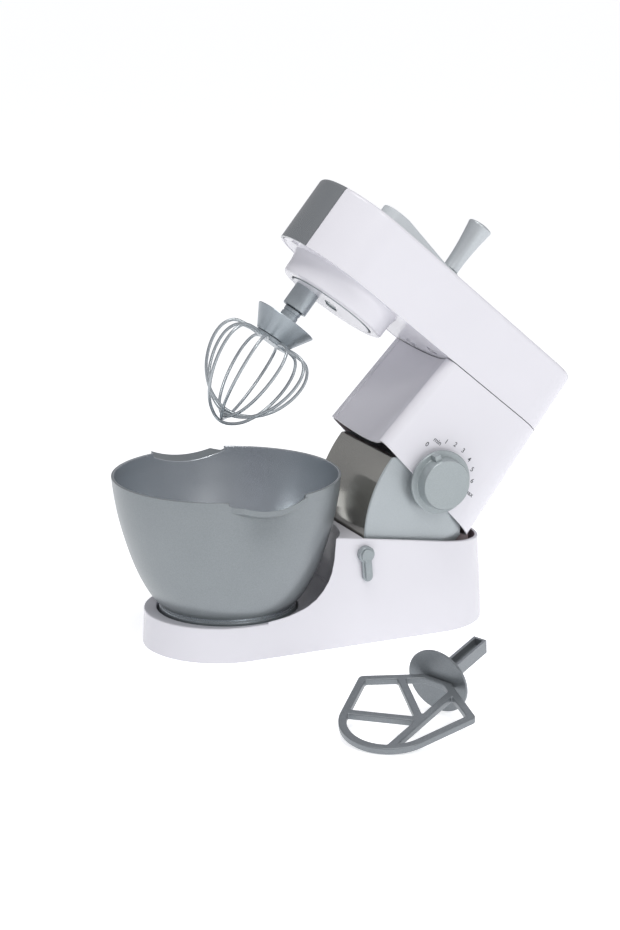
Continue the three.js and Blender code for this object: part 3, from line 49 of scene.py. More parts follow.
def add(tree, kind, inputs=None, **settings):
    """Adds a shader node with its settings; an input is a value or another node's output."""
    node = tree.nodes.new(kind)
    for name, value in settings.items():
        setattr(node, name, value)
    for socket, value in (inputs or {}).items():
        if isinstance(value, bpy.types.NodeSocket):
            tree.links.new(value, node.inputs[socket])
        else:
            node.inputs[socket].default_value = value
    return node


def empty_finish(name):
    """A new material with nothing in it but its output node."""
    finish = bpy.data.materials.new(name)
    finish.use_nodes = True
    finish.node_tree.nodes.clear()
    return finish, finish.node_tree, finish.node_tree.nodes.new("ShaderNodeOutputMaterial")


scene = bpy.context.scene
scene.view_settings.view_transform = "Standard"
scene.view_settings.look = "None"

azimuth, elevation, distance = math.radians(-23.589), math.radians(14.342), 1.55972
aside, above = 0.058218, 0.12169
focal_length, sensor_width = 85.16, 36
level = math.cos(elevation)
right = Vector((math.cos(azimuth), math.sin(azimuth), 0))
back = Vector((math.sin(azimuth) * level, -math.cos(azimuth) * level, math.sin(elevation)))
up = back.cross(right)
lens = bpy.data.cameras.new("camera")
lens.lens = focal_length
lens.sensor_width = sensor_width
camera = bpy.data.objects.new("camera", lens)
camera.matrix_world = Matrix((right, up, back)).transposed().to_4x4()
camera.location = back * distance + right * aside + up * above
scene.collection.objects.link(camera)
scene.camera = camera

floor_reach, floor_drop = 12, 0.0002
floor_mesh = bmesh.new()
bmesh.ops.create_grid(floor_mesh, x_segments=1, y_segments=1, size=floor_reach)
bmesh.ops.translate(floor_mesh, vec=(0, 0, -floor_drop), verts=floor_mesh.verts)
floor_data = bpy.data.meshes.new("floor")
floor_mesh.to_mesh(floor_data)
floor_mesh.free()
floor = bpy.data.objects.new("floor", floor_data)
scene.collection.objects.link(floor)
paper, tree, output = empty_finish("seamless white paper, lit from behind")
sheen = add(tree, "ShaderNodeBsdfPrincipled",
            {"Base Color": linear("#f4f5f7"), "Roughness": 0.8, "Specular IOR Level": 0.1,
             "Emission Color": linear("#ffffff"), "Emission Strength": 0.6})
tree.links.new(sheen.outputs["BSDF"], output.inputs["Surface"])
floor_data.materials.append(paper)

surround = bpy.data.worlds.new("surround")
surround.use_nodes = True
sky = surround.node_tree
sky_dim, sky_bright, bright_side = 0.35, 0.51, (0.25, -0.15, 0.9)
way = add(sky, "ShaderNodeTexCoord")
lean = add(sky, "ShaderNodeVectorMath", {0: way.outputs["Generated"], 1: bright_side}, operation="DOT_PRODUCT")
power = add(sky, "ShaderNodeMapRange", {"Value": lean.outputs["Value"], "From Min": -0.6, "From Max": 1,
                                        "To Min": sky_dim, "To Max": sky_bright})
sky.nodes["Background"].inputs["Color"].default_value = linear("#f6f6fb")
sky.links.new(power.outputs["Result"], sky.nodes["Background"].inputs["Strength"])
scene.world = surround


middle = (0.06, 0, 0.15)
box_side = 0.5


def soft_box(name, place, watts, colour):
    """A square soft light at a place, turned towards the middle of the toy."""
    data = bpy.data.lights.new(name, "AREA")
    data.shape = "RECTANGLE"
    data.size, data.size_y, data.energy, data.color = box_side, box_side, watts, linear(colour)[:3]
    lamp = bpy.data.objects.new(name, data)
    lamp.location = place
    lamp.rotation_mode = "QUATERNION"
    lamp.rotation_quaternion = (Vector(middle) - Vector(place)).to_track_quat("-Z", "Y")
    scene.collection.objects.link(lamp)


soft_box("front box", (0.2, -1.7, 1.3), 7.5, "#fffefb")
soft_box("top box", (-0.15, -0.3, 1.5), 6, "#fffefc")


# Base shell: one drafted injection-moulded housing in white ABS with a round well for the bowl,
# a saddle wall that hugs the bowl and an open bay behind it for the hinge drum.
MM = 0.001
crease = math.radians(38)
base_front_x, base_front_radius = -5.5, 55
base_rear_x, base_rear_radius = 143.5, 51.7
base_wall = 2.4
base_draft = math.tan(math.radians(3))
rim_slope = math.tan(math.radians(8.4))
rim_high, rim_from, bay_x = 75, 86.6, 84.2
lobe_top, step_x, base_blank = 24.6, 9, 90
well_floor, well_top = 17, 130
well_side = [(49.7, well_floor), (49.7, 24), (57.9, 28), (64.6, 32.4), (69, 37), (72.6, 42.8), (75.2, 48.6),
             (76.8, 54), (78.1, 63), (79, 79), (79, well_top)]
relief_x, relief_low, relief_high, relief_half, relief_depth = (22, 100), 37, 69.5, 46.5, 1
base_ease, bay_middle = 0.9, 120


def traced(bm, start, *moves, height=0):
    """Draws a closed outline at a height: a move is a corner, or an arc as (centre, degrees, steps)."""
    first = last = bm.verts.new((*start, height))
    for move in moves:
        if len(move) == 3:
            centre, degrees, steps = move
            spun = bmesh.ops.spin(bm, geom=[last], cent=(*centre, height), axis=(0, 0, 1), dvec=(0, 0, 0),
                                  angle=math.radians(degrees), steps=steps, use_duplicate=False)
            last = [v for v in spun["geom_last"] if isinstance(v, bmesh.types.BMVert)][0]
        else:
            corner = bm.verts.new((*move, height))
            bm.edges.new((last, corner))
            last = corner
    if (last.co - first.co).length < 0.001:
        bmesh.ops.weld_verts(bm, targetmap={last: first})
        return
    bm.edges.new((last, first))


def between(*outlines):
    """A closed form skinned from one outline to the next; each is a function that draws on a mesh."""
    bm = bmesh.new()
    loops = []
    for draw in outlines:
        before = set(bm.edges)
        draw(bm)
        loops.append([e for e in bm.edges if e not in before])
    for lower, upper in zip(loops, loops[1:]):
        bmesh.ops.bridge_loops(bm, edges=lower + upper)
    bmesh.ops.contextual_create(bm, geom=loops[0])
    bmesh.ops.contextual_create(bm, geom=loops[-1])
    bmesh.ops.recalc_face_normals(bm, faces=bm.faces)
    return bm


def slab(points, low, high):
    """A flat-sided block: an outline in X and Z, pushed from one Y to another."""
    bm = bmesh.new()
    face = bm.faces.new([bm.verts.new((x, low, z)) for x, z in points])
    copied = bmesh.ops.extrude_face_region(bm, geom=[face])
    moved = [v for v in copied["geom"] if isinstance(v, bmesh.types.BMVert)]
    bmesh.ops.translate(bm, vec=(0, high - low, 0), verts=moved)
    bmesh.ops.recalc_face_normals(bm, faces=bm.faces)
    return bm


def block(x0, x1, z0, z1, y0, y1):
    """A box between two places on each axis."""
    return slab([(x0, z0), (x1, z0), (x1, z1), (x0, z1)], y0, y1)


def pushed(low, high, start, *moves):
    """A closed form with one outline at two heights."""
    return between(*[lambda bm, h=h: traced(bm, start, *moves, height=h) for h in (low, high)])


def turned(profile, steps=96):
    """A round form: a section of (radius, height) points spun about the Z axis."""
    bm = bmesh.new()
    points = [bm.verts.new((r, 0, z)) for r, z in profile]
    chain = [bm.edges.new(pair) for pair in zip(points, points[1:])]
    if profile[0][0] > 0 and profile[0] != profile[-1]:
        chain.append(bm.edges.new((points[-1], points[0])))
    bmesh.ops.spin(bm, geom=points + chain, cent=(0, 0, 0), axis=(0, 0, 1), dvec=(0, 0, 0), angle=math.tau,
                   steps=steps, use_merge=True, use_duplicate=False)
    bmesh.ops.remove_doubles(bm, verts=bm.verts, dist=0.001)
    bmesh.ops.recalc_face_normals(bm, faces=bm.faces)
    return bm


def carved(bm, tool, how="DIFFERENCE"):
    """Cuts one closed form with another, or joins them; both are used up."""
    blanks = []
    for form in (bm, tool):
        mesh = bpy.data.meshes.new("blank")
        form.to_mesh(mesh)
        form.free()
        blanks.append(bpy.data.objects.new("blank", mesh))
        scene.collection.objects.link(blanks[-1])
    cut = blanks[0].modifiers.new("cut", "BOOLEAN")
    cut.operation, cut.solver, cut.object = how, "EXACT", blanks[1]
    shape = blanks[0].evaluated_get(bpy.context.evaluated_depsgraph_get())
    result = bmesh.new()
    result.from_mesh(shape.to_mesh())
    shape.to_mesh_clear()
    for blank in blanks:
        bpy.data.meshes.remove(blank.data)
    bmesh.ops.remove_doubles(result, verts=result.verts, dist=0.02)
    bmesh.ops.dissolve_degenerate(result, edges=result.edges, dist=0.01)
    return result


def eased(bm, width, segments=3, where=lambda edge: True, sharper_than=32):
    """Rounds the sharp outer corners that pass a test."""
    bmesh.ops.recalc_face_normals(bm, faces=bm.faces)
    least = math.radians(sharper_than)
    outer = [e for e in bm.edges if e.is_manifold and e.is_convex]
    picked = [e for e in outer if e.calc_face_angle(0) > least and where(e)]
    bmesh.ops.bevel(bm, geom=picked, offset=width, offset_type="OFFSET", segments=segments, profile=0.5,
                    affect="EDGES", clamp_overlap=False, material=-1)
    return bm


def moved(bm, matrix):
    """Moves a form and hands it back."""
    bmesh.ops.transform(bm, matrix=matrix, verts=bm.verts)
    return bm


def lowest(edge):
    """Height of an edge's lower end."""
    return min(v.co.z for v in edge.verts)


def highest(edge):
    """Height of an edge's upper end."""
    return max(v.co.z for v in edge.verts)


def made(name, bm, finish, move=Matrix.Identity(4), second=None, where=lambda face: False):
    """Makes an object from a mesh drawn in millimetres; faces that pass a test get a second finish."""
    for face in bm.faces:
        face.material_index = 1 if where(face) else 0
        face.smooth = True
    moved(bm, Matrix.Scale(MM, 4) @ move)
    for edge in bm.edges:
        edge.smooth = edge.calc_face_angle(0) < crease
    mesh = bpy.data.meshes.new(name)
    bm.to_mesh(mesh)
    bm.free()
    mesh.materials.append(finish)
    if second:
        mesh.materials.append(second)
    piece = bpy.data.objects.new(name, mesh)
    scene.collection.objects.link(piece)
    weighted = piece.modifiers.new("even shading", "WEIGHTED_NORMAL")
    weighted.keep_sharp = True
    return piece


def base_outline(inset, height):
    """The base's plan: a wide front lobe and a narrower rear lobe joined by straight sides."""
    front, rear = base_front_radius - inset, base_rear_radius - inset
    lean = math.degrees(math.asin((base_front_radius - base_rear_radius) / (base_rear_x - base_front_x)))
    first = math.radians(90 - lean)
    front_start = (base_front_x + front * math.cos(first), front * math.sin(first))
    rear_start = (base_rear_x + rear * math.cos(first), -rear * math.sin(first))
    return lambda bm: traced(bm, front_start, ((base_front_x, 0), 180 + 2 * lean, 40), rear_start,
                             ((base_rear_x, 0), 180 - 2 * lean, 40), height=height)


def rim(x, drop=0):
    """Height of the sloping rim of the rear part."""
    return rim_high - rim_slope * (x - rim_from) - drop


def base_form(inset, low, high):
    """The base's solid form between two heights, drafted inwards as it rises."""
    foot, top = inset + base_draft * max(low, 0), inset + base_draft * high
    return between(base_outline(foot, low), base_outline(top, high))


def well_form(skin):
    """The room for the bowl, grown by a skin."""
    return turned([(0, well_floor - skin)] + [(r + skin, z - skin) for r, z in well_side] + [(0, well_top - skin)])


white_abs, tree, output = empty_finish("white ABS, moulded and polished")
# Mould-polished: clear gloss over a faint ripple about 3 mm wide, and a trace of blue in the white.
place = add(tree, "ShaderNodeTexCoord")
ripple = add(tree, "ShaderNodeTexNoise", {"Vector": place.outputs["Object"], "Scale": 300, "Detail": 1})
cloud = add(tree, "ShaderNodeTexNoise", {"Vector": place.outputs["Object"], "Scale": 18, "Detail": 3})
tone = add(tree, "ShaderNodeMix", {"Factor": cloud.outputs["Fac"], "A": linear("#e2e1e7"), "B": linear("#e8e7ed")},
           data_type="RGBA")
gloss = add(tree, "ShaderNodeMapRange", {"Value": cloud.outputs["Fac"], "To Min": 0.2, "To Max": 0.3})
relief = add(tree, "ShaderNodeBump", {"Height": ripple.outputs["Fac"], "Strength": 0.03, "Distance": 0.0003})
shade = add(tree, "ShaderNodeBsdfPrincipled", {"Base Color": tone.outputs[2], "Roughness": gloss.outputs["Result"],
                                               "Normal": relief.outputs["Normal"], "IOR": 1.53})
tree.links.new(shade.outputs["BSDF"], output.inputs["Surface"])

inner_painted_shade_abs, tree, output = empty_finish("white ABS, inner faces with painted warm shade")
# Painted shade: inner faces that sit in shade get a darker, warm mauve copy of the white, matt, standing in for
# the shade and the warm light seen through the wall.
place = add(tree, "ShaderNodeTexCoord")
cloud = add(tree, "ShaderNodeTexNoise", {"Vector": place.outputs["Object"], "Scale": 60, "Detail": 3})
tone = add(tree, "ShaderNodeMix", {"Factor": cloud.outputs["Fac"], "A": linear("#a89a9d"), "B": linear("#b7a9ad")},
           data_type="RGBA")
shade = add(tree, "ShaderNodeBsdfPrincipled", {"Base Color": tone.outputs[2], "Roughness": 0.7, "IOR": 1.53})
tree.links.new(shade.outputs["BSDF"], output.inputs["Surface"])


def faces_inward(face, centre_x):
    """Whether an upright face looks towards a housing's own middle."""
    spot = face.calc_center_median()
    return abs(face.normal.z) < 0.5 and face.normal.x * (spot.x - centre_x) + face.normal.y * spot.y < 0


far = 240
above_front = [(-far, lobe_top), (step_x, lobe_top), (step_x, rim(step_x)), (far, rim(far)), (far, far),
               (-far, far)]
above_hollow = [(-far, lobe_top - base_wall), (step_x, lobe_top - base_wall), (step_x, rim(step_x, base_wall)),
                (bay_x, rim(bay_x, base_wall)), (bay_x, far), (-far, far)]
hollow = carved(carved(base_form(base_wall, -5, base_blank), slab(above_hollow, -far, far)), well_form(base_wall))
shell = carved(carved(carved(base_form(0, 0, base_blank), hollow), slab(above_front, -far, far)), well_form(0))
relief = block(*relief_x, relief_low, relief_high, -relief_half, relief_half)
shell = carved(shell, carved(well_form(relief_depth), relief, "INTERSECT"))
shell = eased(shell, base_ease, where=lambda e: lowest(e) > 5)
# Painted shade: the inward faces of the rear bay get the darker, warm shade finish.
base_shell = made("base_housing", shell, white_abs, second=inner_painted_shade_abs,
                  where=lambda f: f.calc_center_median().x > bay_x + 0.3 and faces_inward(f, bay_middle))
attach(base_shell, "base")
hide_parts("base_shell")


# Floor plate of the base, moulded in the same white ABS and screwed on from below. It stands on
# four foam pads.
def dress(finish, *nodes):
    """Gives CAD nodes a finish."""
    for name in nodes:
        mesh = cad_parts[name].data
        mesh.materials.clear()
        mesh.materials.append(finish)


dress(white_abs, "base_cover")

foam, tree, output = empty_finish("black EVA foam")
# Closed-cell foam: dull, with cells about 0.4 mm across that dent its face.
place = add(tree, "ShaderNodeTexCoord")
cells = add(tree, "ShaderNodeTexVoronoi", {"Vector": place.outputs["Object"], "Scale": 2500})
dents = add(tree, "ShaderNodeBump", {"Height": cells.outputs["Distance"], "Strength": 0.5, "Distance": 0.0002})
tone = add(tree, "ShaderNodeMix", {"Factor": cells.outputs["Distance"], "A": linear("#1c1d1f"),
                                   "B": linear("#313335")}, data_type="RGBA")
shade = add(tree, "ShaderNodeBsdfPrincipled", {"Base Color": tone.outputs[2], "Roughness": 0.92,
                                               "Normal": dents.outputs["Normal"]})
tree.links.new(shade.outputs["BSDF"], output.inputs["Surface"])
dress(foam, "foot_pad_1", "foot_pad_2", "foot_pad_3", "foot_pad_4")


# Screws, axle, clips, pin and spring: zinc-plated steel, drawn and rolled, so its brightness varies
# in fine streaks. The screws in sight under the head have a coat of enamel.
steel, tree, output = empty_finish("zinc-plated steel")
place = add(tree, "ShaderNodeTexCoord")
streaks = add(tree, "ShaderNodeTexNoise", {"Vector": place.outputs["Object"], "Scale": 1400, "Detail": 2})
rub = add(tree, "ShaderNodeMapRange", {"Value": streaks.outputs["Fac"], "To Min": 0.24, "To Max": 0.44})
tone = add(tree, "ShaderNodeMix", {"Factor": streaks.outputs["Fac"], "A": linear("#a9abad"),
                                   "B": linear("#c3c5c7")}, data_type="RGBA")
shade = add(tree, "ShaderNodeBsdfPrincipled", {"Base Color": tone.outputs[2], "Metallic": 1.0,
                                               "Roughness": rub.outputs["Result"]})
tree.links.new(shade.outputs["BSDF"], output.inputs["Surface"])
dress(steel, "pivot_axle", "axle_clip_1", "axle_clip_2", "carrier_screw", "knob_pin", "spindle_clip",
      "detent_spring", *[f"base_screw_{i}" for i in range(1, 5)], "bracket_screw_1", "bracket_screw_2")

enamel, tree, output = empty_finish("white enamel on screws")
# The screws that can be seen under the head are enamelled white; the enamel pools and thins a little.
place = add(tree, "ShaderNodeTexCoord")
pools = add(tree, "ShaderNodeTexNoise", {"Vector": place.outputs["Object"], "Scale": 500, "Detail": 2})
tone = add(tree, "ShaderNodeMix", {"Factor": pools.outputs["Fac"], "A": linear("#d6d5da"), "B": linear("#e4e3e8")},
           data_type="RGBA")
skin = add(tree, "ShaderNodeBump", {"Height": pools.outputs["Fac"], "Strength": 0.2, "Distance": 0.0002})
shade = add(tree, "ShaderNodeBsdfPrincipled", {"Base Color": tone.outputs[2], "Roughness": 0.3,
                                               "Normal": skin.outputs["Normal"]})
tree.links.new(shade.outputs["BSDF"], output.inputs["Surface"])
dress(enamel, *[f"head_screw_{i}" for i in range(1, 4)], "pillar_screw_1", "pillar_screw_2")


# Hidden works: gears, bush, shafts and click wheel in natural acetal, which is waxy. The hinge bracket is white
# ABS screwed into the shell; it gets the darker, warm painted shade of the shell's inner faces.
acetal, tree, output = empty_finish("natural acetal")
place = add(tree, "ShaderNodeTexCoord")
flow = add(tree, "ShaderNodeTexNoise", {"Vector": place.outputs["Object"], "Scale": 120, "Detail": 2})
tone = add(tree, "ShaderNodeMix", {"Factor": flow.outputs["Fac"], "A": linear("#d2d2ca"), "B": linear("#dedfd8")},
           data_type="RGBA")
wax = add(tree, "ShaderNodeMapRange", {"Value": flow.outputs["Fac"], "To Min": 0.38, "To Max": 0.5})
shade = add(tree, "ShaderNodeBsdfPrincipled", {"Base Color": tone.outputs[2],
                                               "Roughness": wax.outputs["Result"], "IOR": 1.48})
tree.links.new(shade.outputs["BSDF"], output.inputs["Surface"])
dress(inner_painted_shade_abs, "hinge_bracket")
dress(acetal, "latch_pawl", "ring_gear", "crank_bush", "crank_shaft", "planet_gear", "dial_axle", "click_wheel")


# Lock lever: a small arm in silver-pigmented ABS with a raised rib and a round boss, on a shaft
# through the base wall.
def silver_finish(name, dark, light, roughness, metallic, flake=0.35):
    """Plastic with aluminium flake in it: flakes show as specks, and the mould leaves a fine grain."""
    finish, tree, output = empty_finish(name)
    place = add(tree, "ShaderNodeTexCoord")
    specks = add(tree, "ShaderNodeTexVoronoi", {"Vector": place.outputs["Object"], "Scale": 1000 / flake})
    drift = add(tree, "ShaderNodeTexNoise", {"Vector": place.outputs["Object"], "Scale": 25, "Detail": 3})
    blend = add(tree, "ShaderNodeMix", {"Factor": 0.45, "A": specks.outputs["Color"], "B": drift.outputs["Color"]},
                data_type="RGBA")
    grey = add(tree, "ShaderNodeRGBToBW", {"Color": blend.outputs[2]})
    tone = add(tree, "ShaderNodeMix", {"Factor": grey.outputs["Val"], "A": linear(dark), "B": linear(light)},
               data_type="RGBA")
    rub = add(tree, "ShaderNodeMapRange", {"Value": drift.outputs["Fac"], "To Min": roughness - 0.04,
                                           "To Max": roughness + 0.05})
    grain = add(tree, "ShaderNodeTexNoise", {"Vector": place.outputs["Object"], "Scale": 1800, "Detail": 2})
    relief = add(tree, "ShaderNodeBump", {"Height": grain.outputs["Fac"], "Strength": 0.12, "Distance": 0.0001})
    shade = add(tree, "ShaderNodeBsdfPrincipled", {"Base Color": tone.outputs[2], "Metallic": metallic, "IOR": 1.5,
                                                   "Roughness": rub.outputs["Result"],
                                                   "Normal": relief.outputs["Normal"]})
    tree.links.new(shade.outputs["BSDF"], output.inputs["Surface"])
    return finish


silver_abs = silver_finish("silver-pigmented ABS", "#a0a8ac", "#c0c7cb", 0.34, 0.7)


def rounded_bar(width_start, width_end, length, low, high, steps=20):
    """A flat arm with round ends, from the origin along +X, between two heights."""
    lean = math.degrees(math.acos((width_start - width_end) / 2 / length))
    first = math.radians(lean)
    start = (width_start / 2 * math.cos(first), width_start / 2 * math.sin(first))
    far_end = (length + width_end / 2 * math.cos(first), -width_end / 2 * math.sin(first))
    return pushed(low, high, start, ((0, 0), 360 - 2 * lean, steps), far_end, ((length, 0), 2 * lean, steps))


lever_x, lever_z, lever_tilt = 83.3, 65.3, math.radians(-4.7)
lever_place = (Matrix.Translation((lever_x, 0, lever_z)) @ Matrix.Rotation(lever_tilt, 4, "Y")
               @ Matrix.Rotation(math.radians(90), 4, "X") @ Matrix.Rotation(math.radians(-90), 4, "Z"))
lever_back, lever_plate, lever_front = 51.3, 53.5, 55.6
lever_length, lever_width, lever_rib, lever_ease = 16.2, 7.2, 4.4, 0.5
boss_back, boss_top, boss_radius, disc_radius, boss_chamfer, disc_chamfer = 50.1, 54.3, 5.8, 4.3, 0.5, 0.4
lever = bmesh.new()
arm_plate = rounded_bar(lever_width, lever_width, lever_length, lever_back, lever_plate)
arm_rib = rounded_bar(lever_rib, lever_rib, lever_length, lever_plate - 1, lever_front - 0.6)
boss_plate = turned([(0, boss_back), (boss_radius, boss_back), (boss_radius, boss_top - boss_chamfer),
                     (boss_radius - boss_chamfer, boss_top), (0, boss_top)], 40)
boss_disc = turned([(0, lever_plate), (disc_radius, lever_plate), (disc_radius, lever_front - disc_chamfer),
                    (disc_radius - disc_chamfer, lever_front), (0, lever_front)], 40)
for part in (eased(arm_plate, lever_ease), eased(arm_rib, lever_ease), boss_plate, boss_disc):
    mesh = bpy.data.meshes.new("blank")
    part.to_mesh(mesh)
    part.free()
    lever.from_mesh(mesh)
    bpy.data.meshes.remove(mesh)
lever_abs = silver_finish("silver ABS of the lever", "#8d9598", "#a9b1b4", 0.36, 0.4)
lock_lever = made("lever_arm", lever, lever_abs, lever_place)
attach(lock_lever, "lever")
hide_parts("lock_lever")


# Bowl: thin-walled, moulded in silver-pigmented polypropylene, with a foot ring, and two finger
# notches whose edge is folded into a thicker lip.
def flowing(points, steps=6):
    """Rounds a chain of section points off into a smooth line through them."""
    line = []
    for i in range(len(points) - 1):
        a, b = Vector(points[max(i - 1, 0)]), Vector(points[i])
        c, d = Vector(points[i + 1]), Vector(points[min(i + 2, len(points) - 1)])
        for k in range(steps):
            t = k / steps
            bend = (2 * a - 5 * b + 4 * c - d) * t ** 2 + (3 * b - a - 3 * c + d) * t ** 3
            line.append(tuple(0.5 * (2 * b + (c - a) * t + bend)))
    return line + [tuple(points[-1])]


rim_radius, rim_top, bowl_wall, bowl_floor = 80, 119.8, 1.9, 22.1
bowl_side = [(47, 27), (54.4, 35.4), (62.5, 50), (69.4, 68.2), (75.2, 88.8), (78.6, 107), (rim_radius, rim_top)]
bowl_outer = flowing(bowl_side)
bowl_inner = [(r - bowl_wall, z) for r, z in reversed(bowl_outer[5:])]
foot = [(42.9, bowl_floor), (44.8, 17.3), (47.8, 17.3), (48.4, 17.9), (48.4, 25.2), (48.1, 25.7), (47.2, 26)]
inner_floor = [(47.6, 27.2), (44, 24.6), (40, 24), (0, 24)]
bowl_form = turned([(0, bowl_floor)] + foot + bowl_outer + bowl_inner + inner_floor, 144)
notch_half, notch_step, notch_dip, notch_rise = 27.36, 1.8, 6.2, 0.45
lip_reach, lip_depth, lip_taper, lip_foot = 5, 4, 9.5, 100
arc_steps = 16


def notch_room(drop):
    """Room above a notch at the -Y side: a step down at each end, a shallow arc between, rising outwards."""
    arc = []
    for k in range(-arc_steps, arc_steps + 1):
        x = notch_half * k / arc_steps
        retreat = rim_radius - math.sqrt(rim_radius ** 2 - x ** 2)
        sag = notch_dip * (1 - (k / arc_steps) ** 2)
        arc.append((x, rim_top - notch_step - drop + notch_rise * retreat - sag))
    room = slab([(-notch_half, far)] + arc + [(notch_half, far)], -rim_radius - lip_reach - 5, -rim_radius / 2)
    for vert in room.verts:
        vert.co.z -= notch_rise * (vert.co.y + rim_radius)
    return room


def twice(bm):
    """A form and its copy half a turn on, in one mesh."""
    copied = bmesh.ops.duplicate(bm, geom=bm.verts[:] + bm.edges[:] + bm.faces[:])["geom"]
    copied_verts = [v for v in copied if isinstance(v, bmesh.types.BMVert)]
    bmesh.ops.rotate(bm, cent=(0, 0, 0), matrix=Matrix.Rotation(math.pi, 3, "Z"), verts=copied_verts)
    return bm


def notch_lip():
    """Lip round the notch: it stands out beyond the wall, with a long taper at one end only."""
    inner, outer, near = rim_radius - bowl_wall * 0.75, rim_radius + lip_reach, rim_radius - 7
    ring = turned([(inner, lip_foot), (outer, lip_foot), (outer, rim_top), (inner, rim_top)], 144)
    plan = [(-notch_half, -near), (lip_taper - notch_half, -outer), (notch_half - 1, -outer), (notch_half, -near)]
    span = carved(ring, pushed(lip_foot, rim_top, *plan), "INTERSECT")
    return carved(span, notch_room(lip_depth), "INTERSECT")


def seen_inside(face):
    """Whether a face of the bowl belongs to its inner wall."""
    spot = face.calc_center_median()
    return spot.z > 23 and face.normal.dot(spot - Vector((0, 0, 100))) < 0 and spot.xy.length < 78.6


bowl_form = carved(carved(bowl_form, twice(notch_lip()), "UNION"), twice(notch_room(0)))
bowl_pp = silver_finish("silver-pigmented polypropylene", "#7b8184", "#949a9d", 0.32, 0.45)
# Painted highlight: the inner wall gets a far lighter, more metallic copy of the bowl's silver than the outside,
# with lower roughness as real polish.
bowl_inner_painted_highlight_pp = silver_finish("silver-pigmented polypropylene, polished inside", "#bec4c9", "#dadfe3", 0.24, 0.85)
bowl_form = eased(bowl_form, 0.35, where=lambda e: highest(e) > 95)
bowl = made("mixing_bowl", bowl_form, bowl_pp, second=bowl_inner_painted_highlight_pp, where=seen_inside)
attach(bowl, "bowl")
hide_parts("bowl")


# Pillar: white ABS housing that carries the head, its front scooped out to clear the bowl. It is
# drawn upright here and tipped open about the hinge with everything else on it.
pivot, open_angle = Vector((176, 0, 72)), math.radians(39)
tipped = Matrix.Translation(pivot) @ Matrix.Rotation(open_angle, 4, "Y") @ Matrix.Translation(-pivot)
side_y, head_wall, front_corner, rear_corner = 46, 2.2, 6, 24
waist_z, seam_z, seam_slope = 56, 153.7, 0.47
scoop_radius, scoop_growth, rear_x, rear_lean = 79.9, 7.1, 180.7, 3.9
foot_x, foot_z, foot_slope = 67.4, 79, 8.4
pillar_top, room_top = 153.2, 150.9
gap_x, gap_top, gap_half = 150, 79.7, 15.8
panel_half, panel_depth, panel_low, panel_high = 37.5, 0.7, (79.47, 50), (87.47, 160.2)


def pillar_outline(inset, height):
    """The pillar's plan at a height: scoop in front, small front corners, wide rear corners."""
    rise = (height - waist_z) / (seam_z - waist_z)
    half, scoop = side_y - inset, scoop_radius + scoop_growth * rise + inset
    edge, corner, rear = front_corner - inset, rear_corner - inset, rear_x - rear_lean * rise - inset
    centre = math.sqrt((scoop + edge) ** 2 - (half - edge) ** 2)
    lean = math.degrees(math.atan2(half - edge, centre))
    start = (scoop * math.cos(math.radians(lean)), scoop * math.sin(math.radians(lean)))
    return lambda bm: traced(bm, start, ((0, 0), -2 * lean, 32), ((centre, edge - half), 90 + lean, 8),
                             (rear - corner, -half), ((rear - corner, corner - half), 90, 14),
                             (rear, half - corner), ((rear - corner, half - corner), 90, 14),
                             (centre, half), ((centre, half - edge), 90 + lean, 8), height=height)


def trimmed(bm, x, z, slope, keep_above):
    """Cuts a form with a plane that runs along Y and slopes down to the rear, and closes the cut."""
    normal = Vector((math.tan(math.radians(slope)), 0, 1)) * (-1 if keep_above else 1)
    everything = bm.verts[:] + bm.edges[:] + bm.faces[:]
    cut = bmesh.ops.bisect_plane(bm, geom=everything, plane_co=(x, 0, z), plane_no=normal, clear_outer=True)
    bmesh.ops.contextual_create(bm, geom=[e for e in cut["geom_cut"] if isinstance(e, bmesh.types.BMEdge)])
    return bm


pillar = trimmed(between(pillar_outline(0, 50), pillar_outline(0, 160)), foot_x, foot_z, foot_slope, True)
pillar = trimmed(pillar, 0, pillar_top, seam_slope, False)
room = between(pillar_outline(head_wall, 40), pillar_outline(head_wall, 158))
pillar = carved(pillar, trimmed(room, 0, room_top, seam_slope, False))
pillar = eased(carved(pillar, block(gap_x, 200, 0, gap_top, -gap_half, gap_half)), 0.5)
panel = turned([(0, panel_low[1])] + [(r + panel_depth, z) for r, z in (panel_low, panel_high)]
               + [(0, panel_high[1])], 160)
pillar = carved(pillar, carved(panel, block(0, 120, 40, 170, -panel_half, panel_half), "INTERSECT"))
# Painted shade: the inward faces at the pillar's rear get the darker, warm shade finish.
pillar_shell = made("pillar_housing", pillar, white_abs, tipped, inner_painted_shade_abs,
                    lambda f: f.calc_center_median().x > 90 and faces_inward(f, 130))
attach(pillar_shell, "head")
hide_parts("pillar_shell")


# Head: a long white ABS cover with a half-round nose and a softly rounded top edge, open below. A
# shallow seat at the nose takes the grey band.
nose_x, head_rear, head_low = -11, 176.8, 150
roof_rear, roof_blank, roof_z, roof_slope, roof_ease = 174.9, 215, 202.3, 1.17, 2.8
band_angle, band_inner, band_gap, seat_top = 28.3, 44.1, 0.3, 157.2


def head_outline(inset, height, rear):
    """The head's plan: half-round nose, straight sides, wide rear corners."""
    half, corner, back_x = side_y - inset, rear_corner - inset, rear - inset
    return lambda bm: traced(bm, (nose_x, half), ((nose_x, 0), 180, 64),
                             (back_x - corner, -half), ((back_x - corner, corner - half), 90, 16),
                             (back_x, half - corner), ((back_x - corner, half - corner), 90, 16), height=height)


def head_form(inset, low, seam=None):
    """The head's solid form with its top edge rounded; at a seam it ends in the sloping cut."""
    bm = between(head_outline(inset, low, head_rear), head_outline(inset, roof_blank, roof_rear))
    bm = trimmed(bm, 0, roof_z - inset, roof_slope, False)
    if seam:
        bm = trimmed(bm, 0, seam, seam_slope, True)
    return eased(bm, roof_ease, 6, lambda e: lowest(e) > 190, 60)


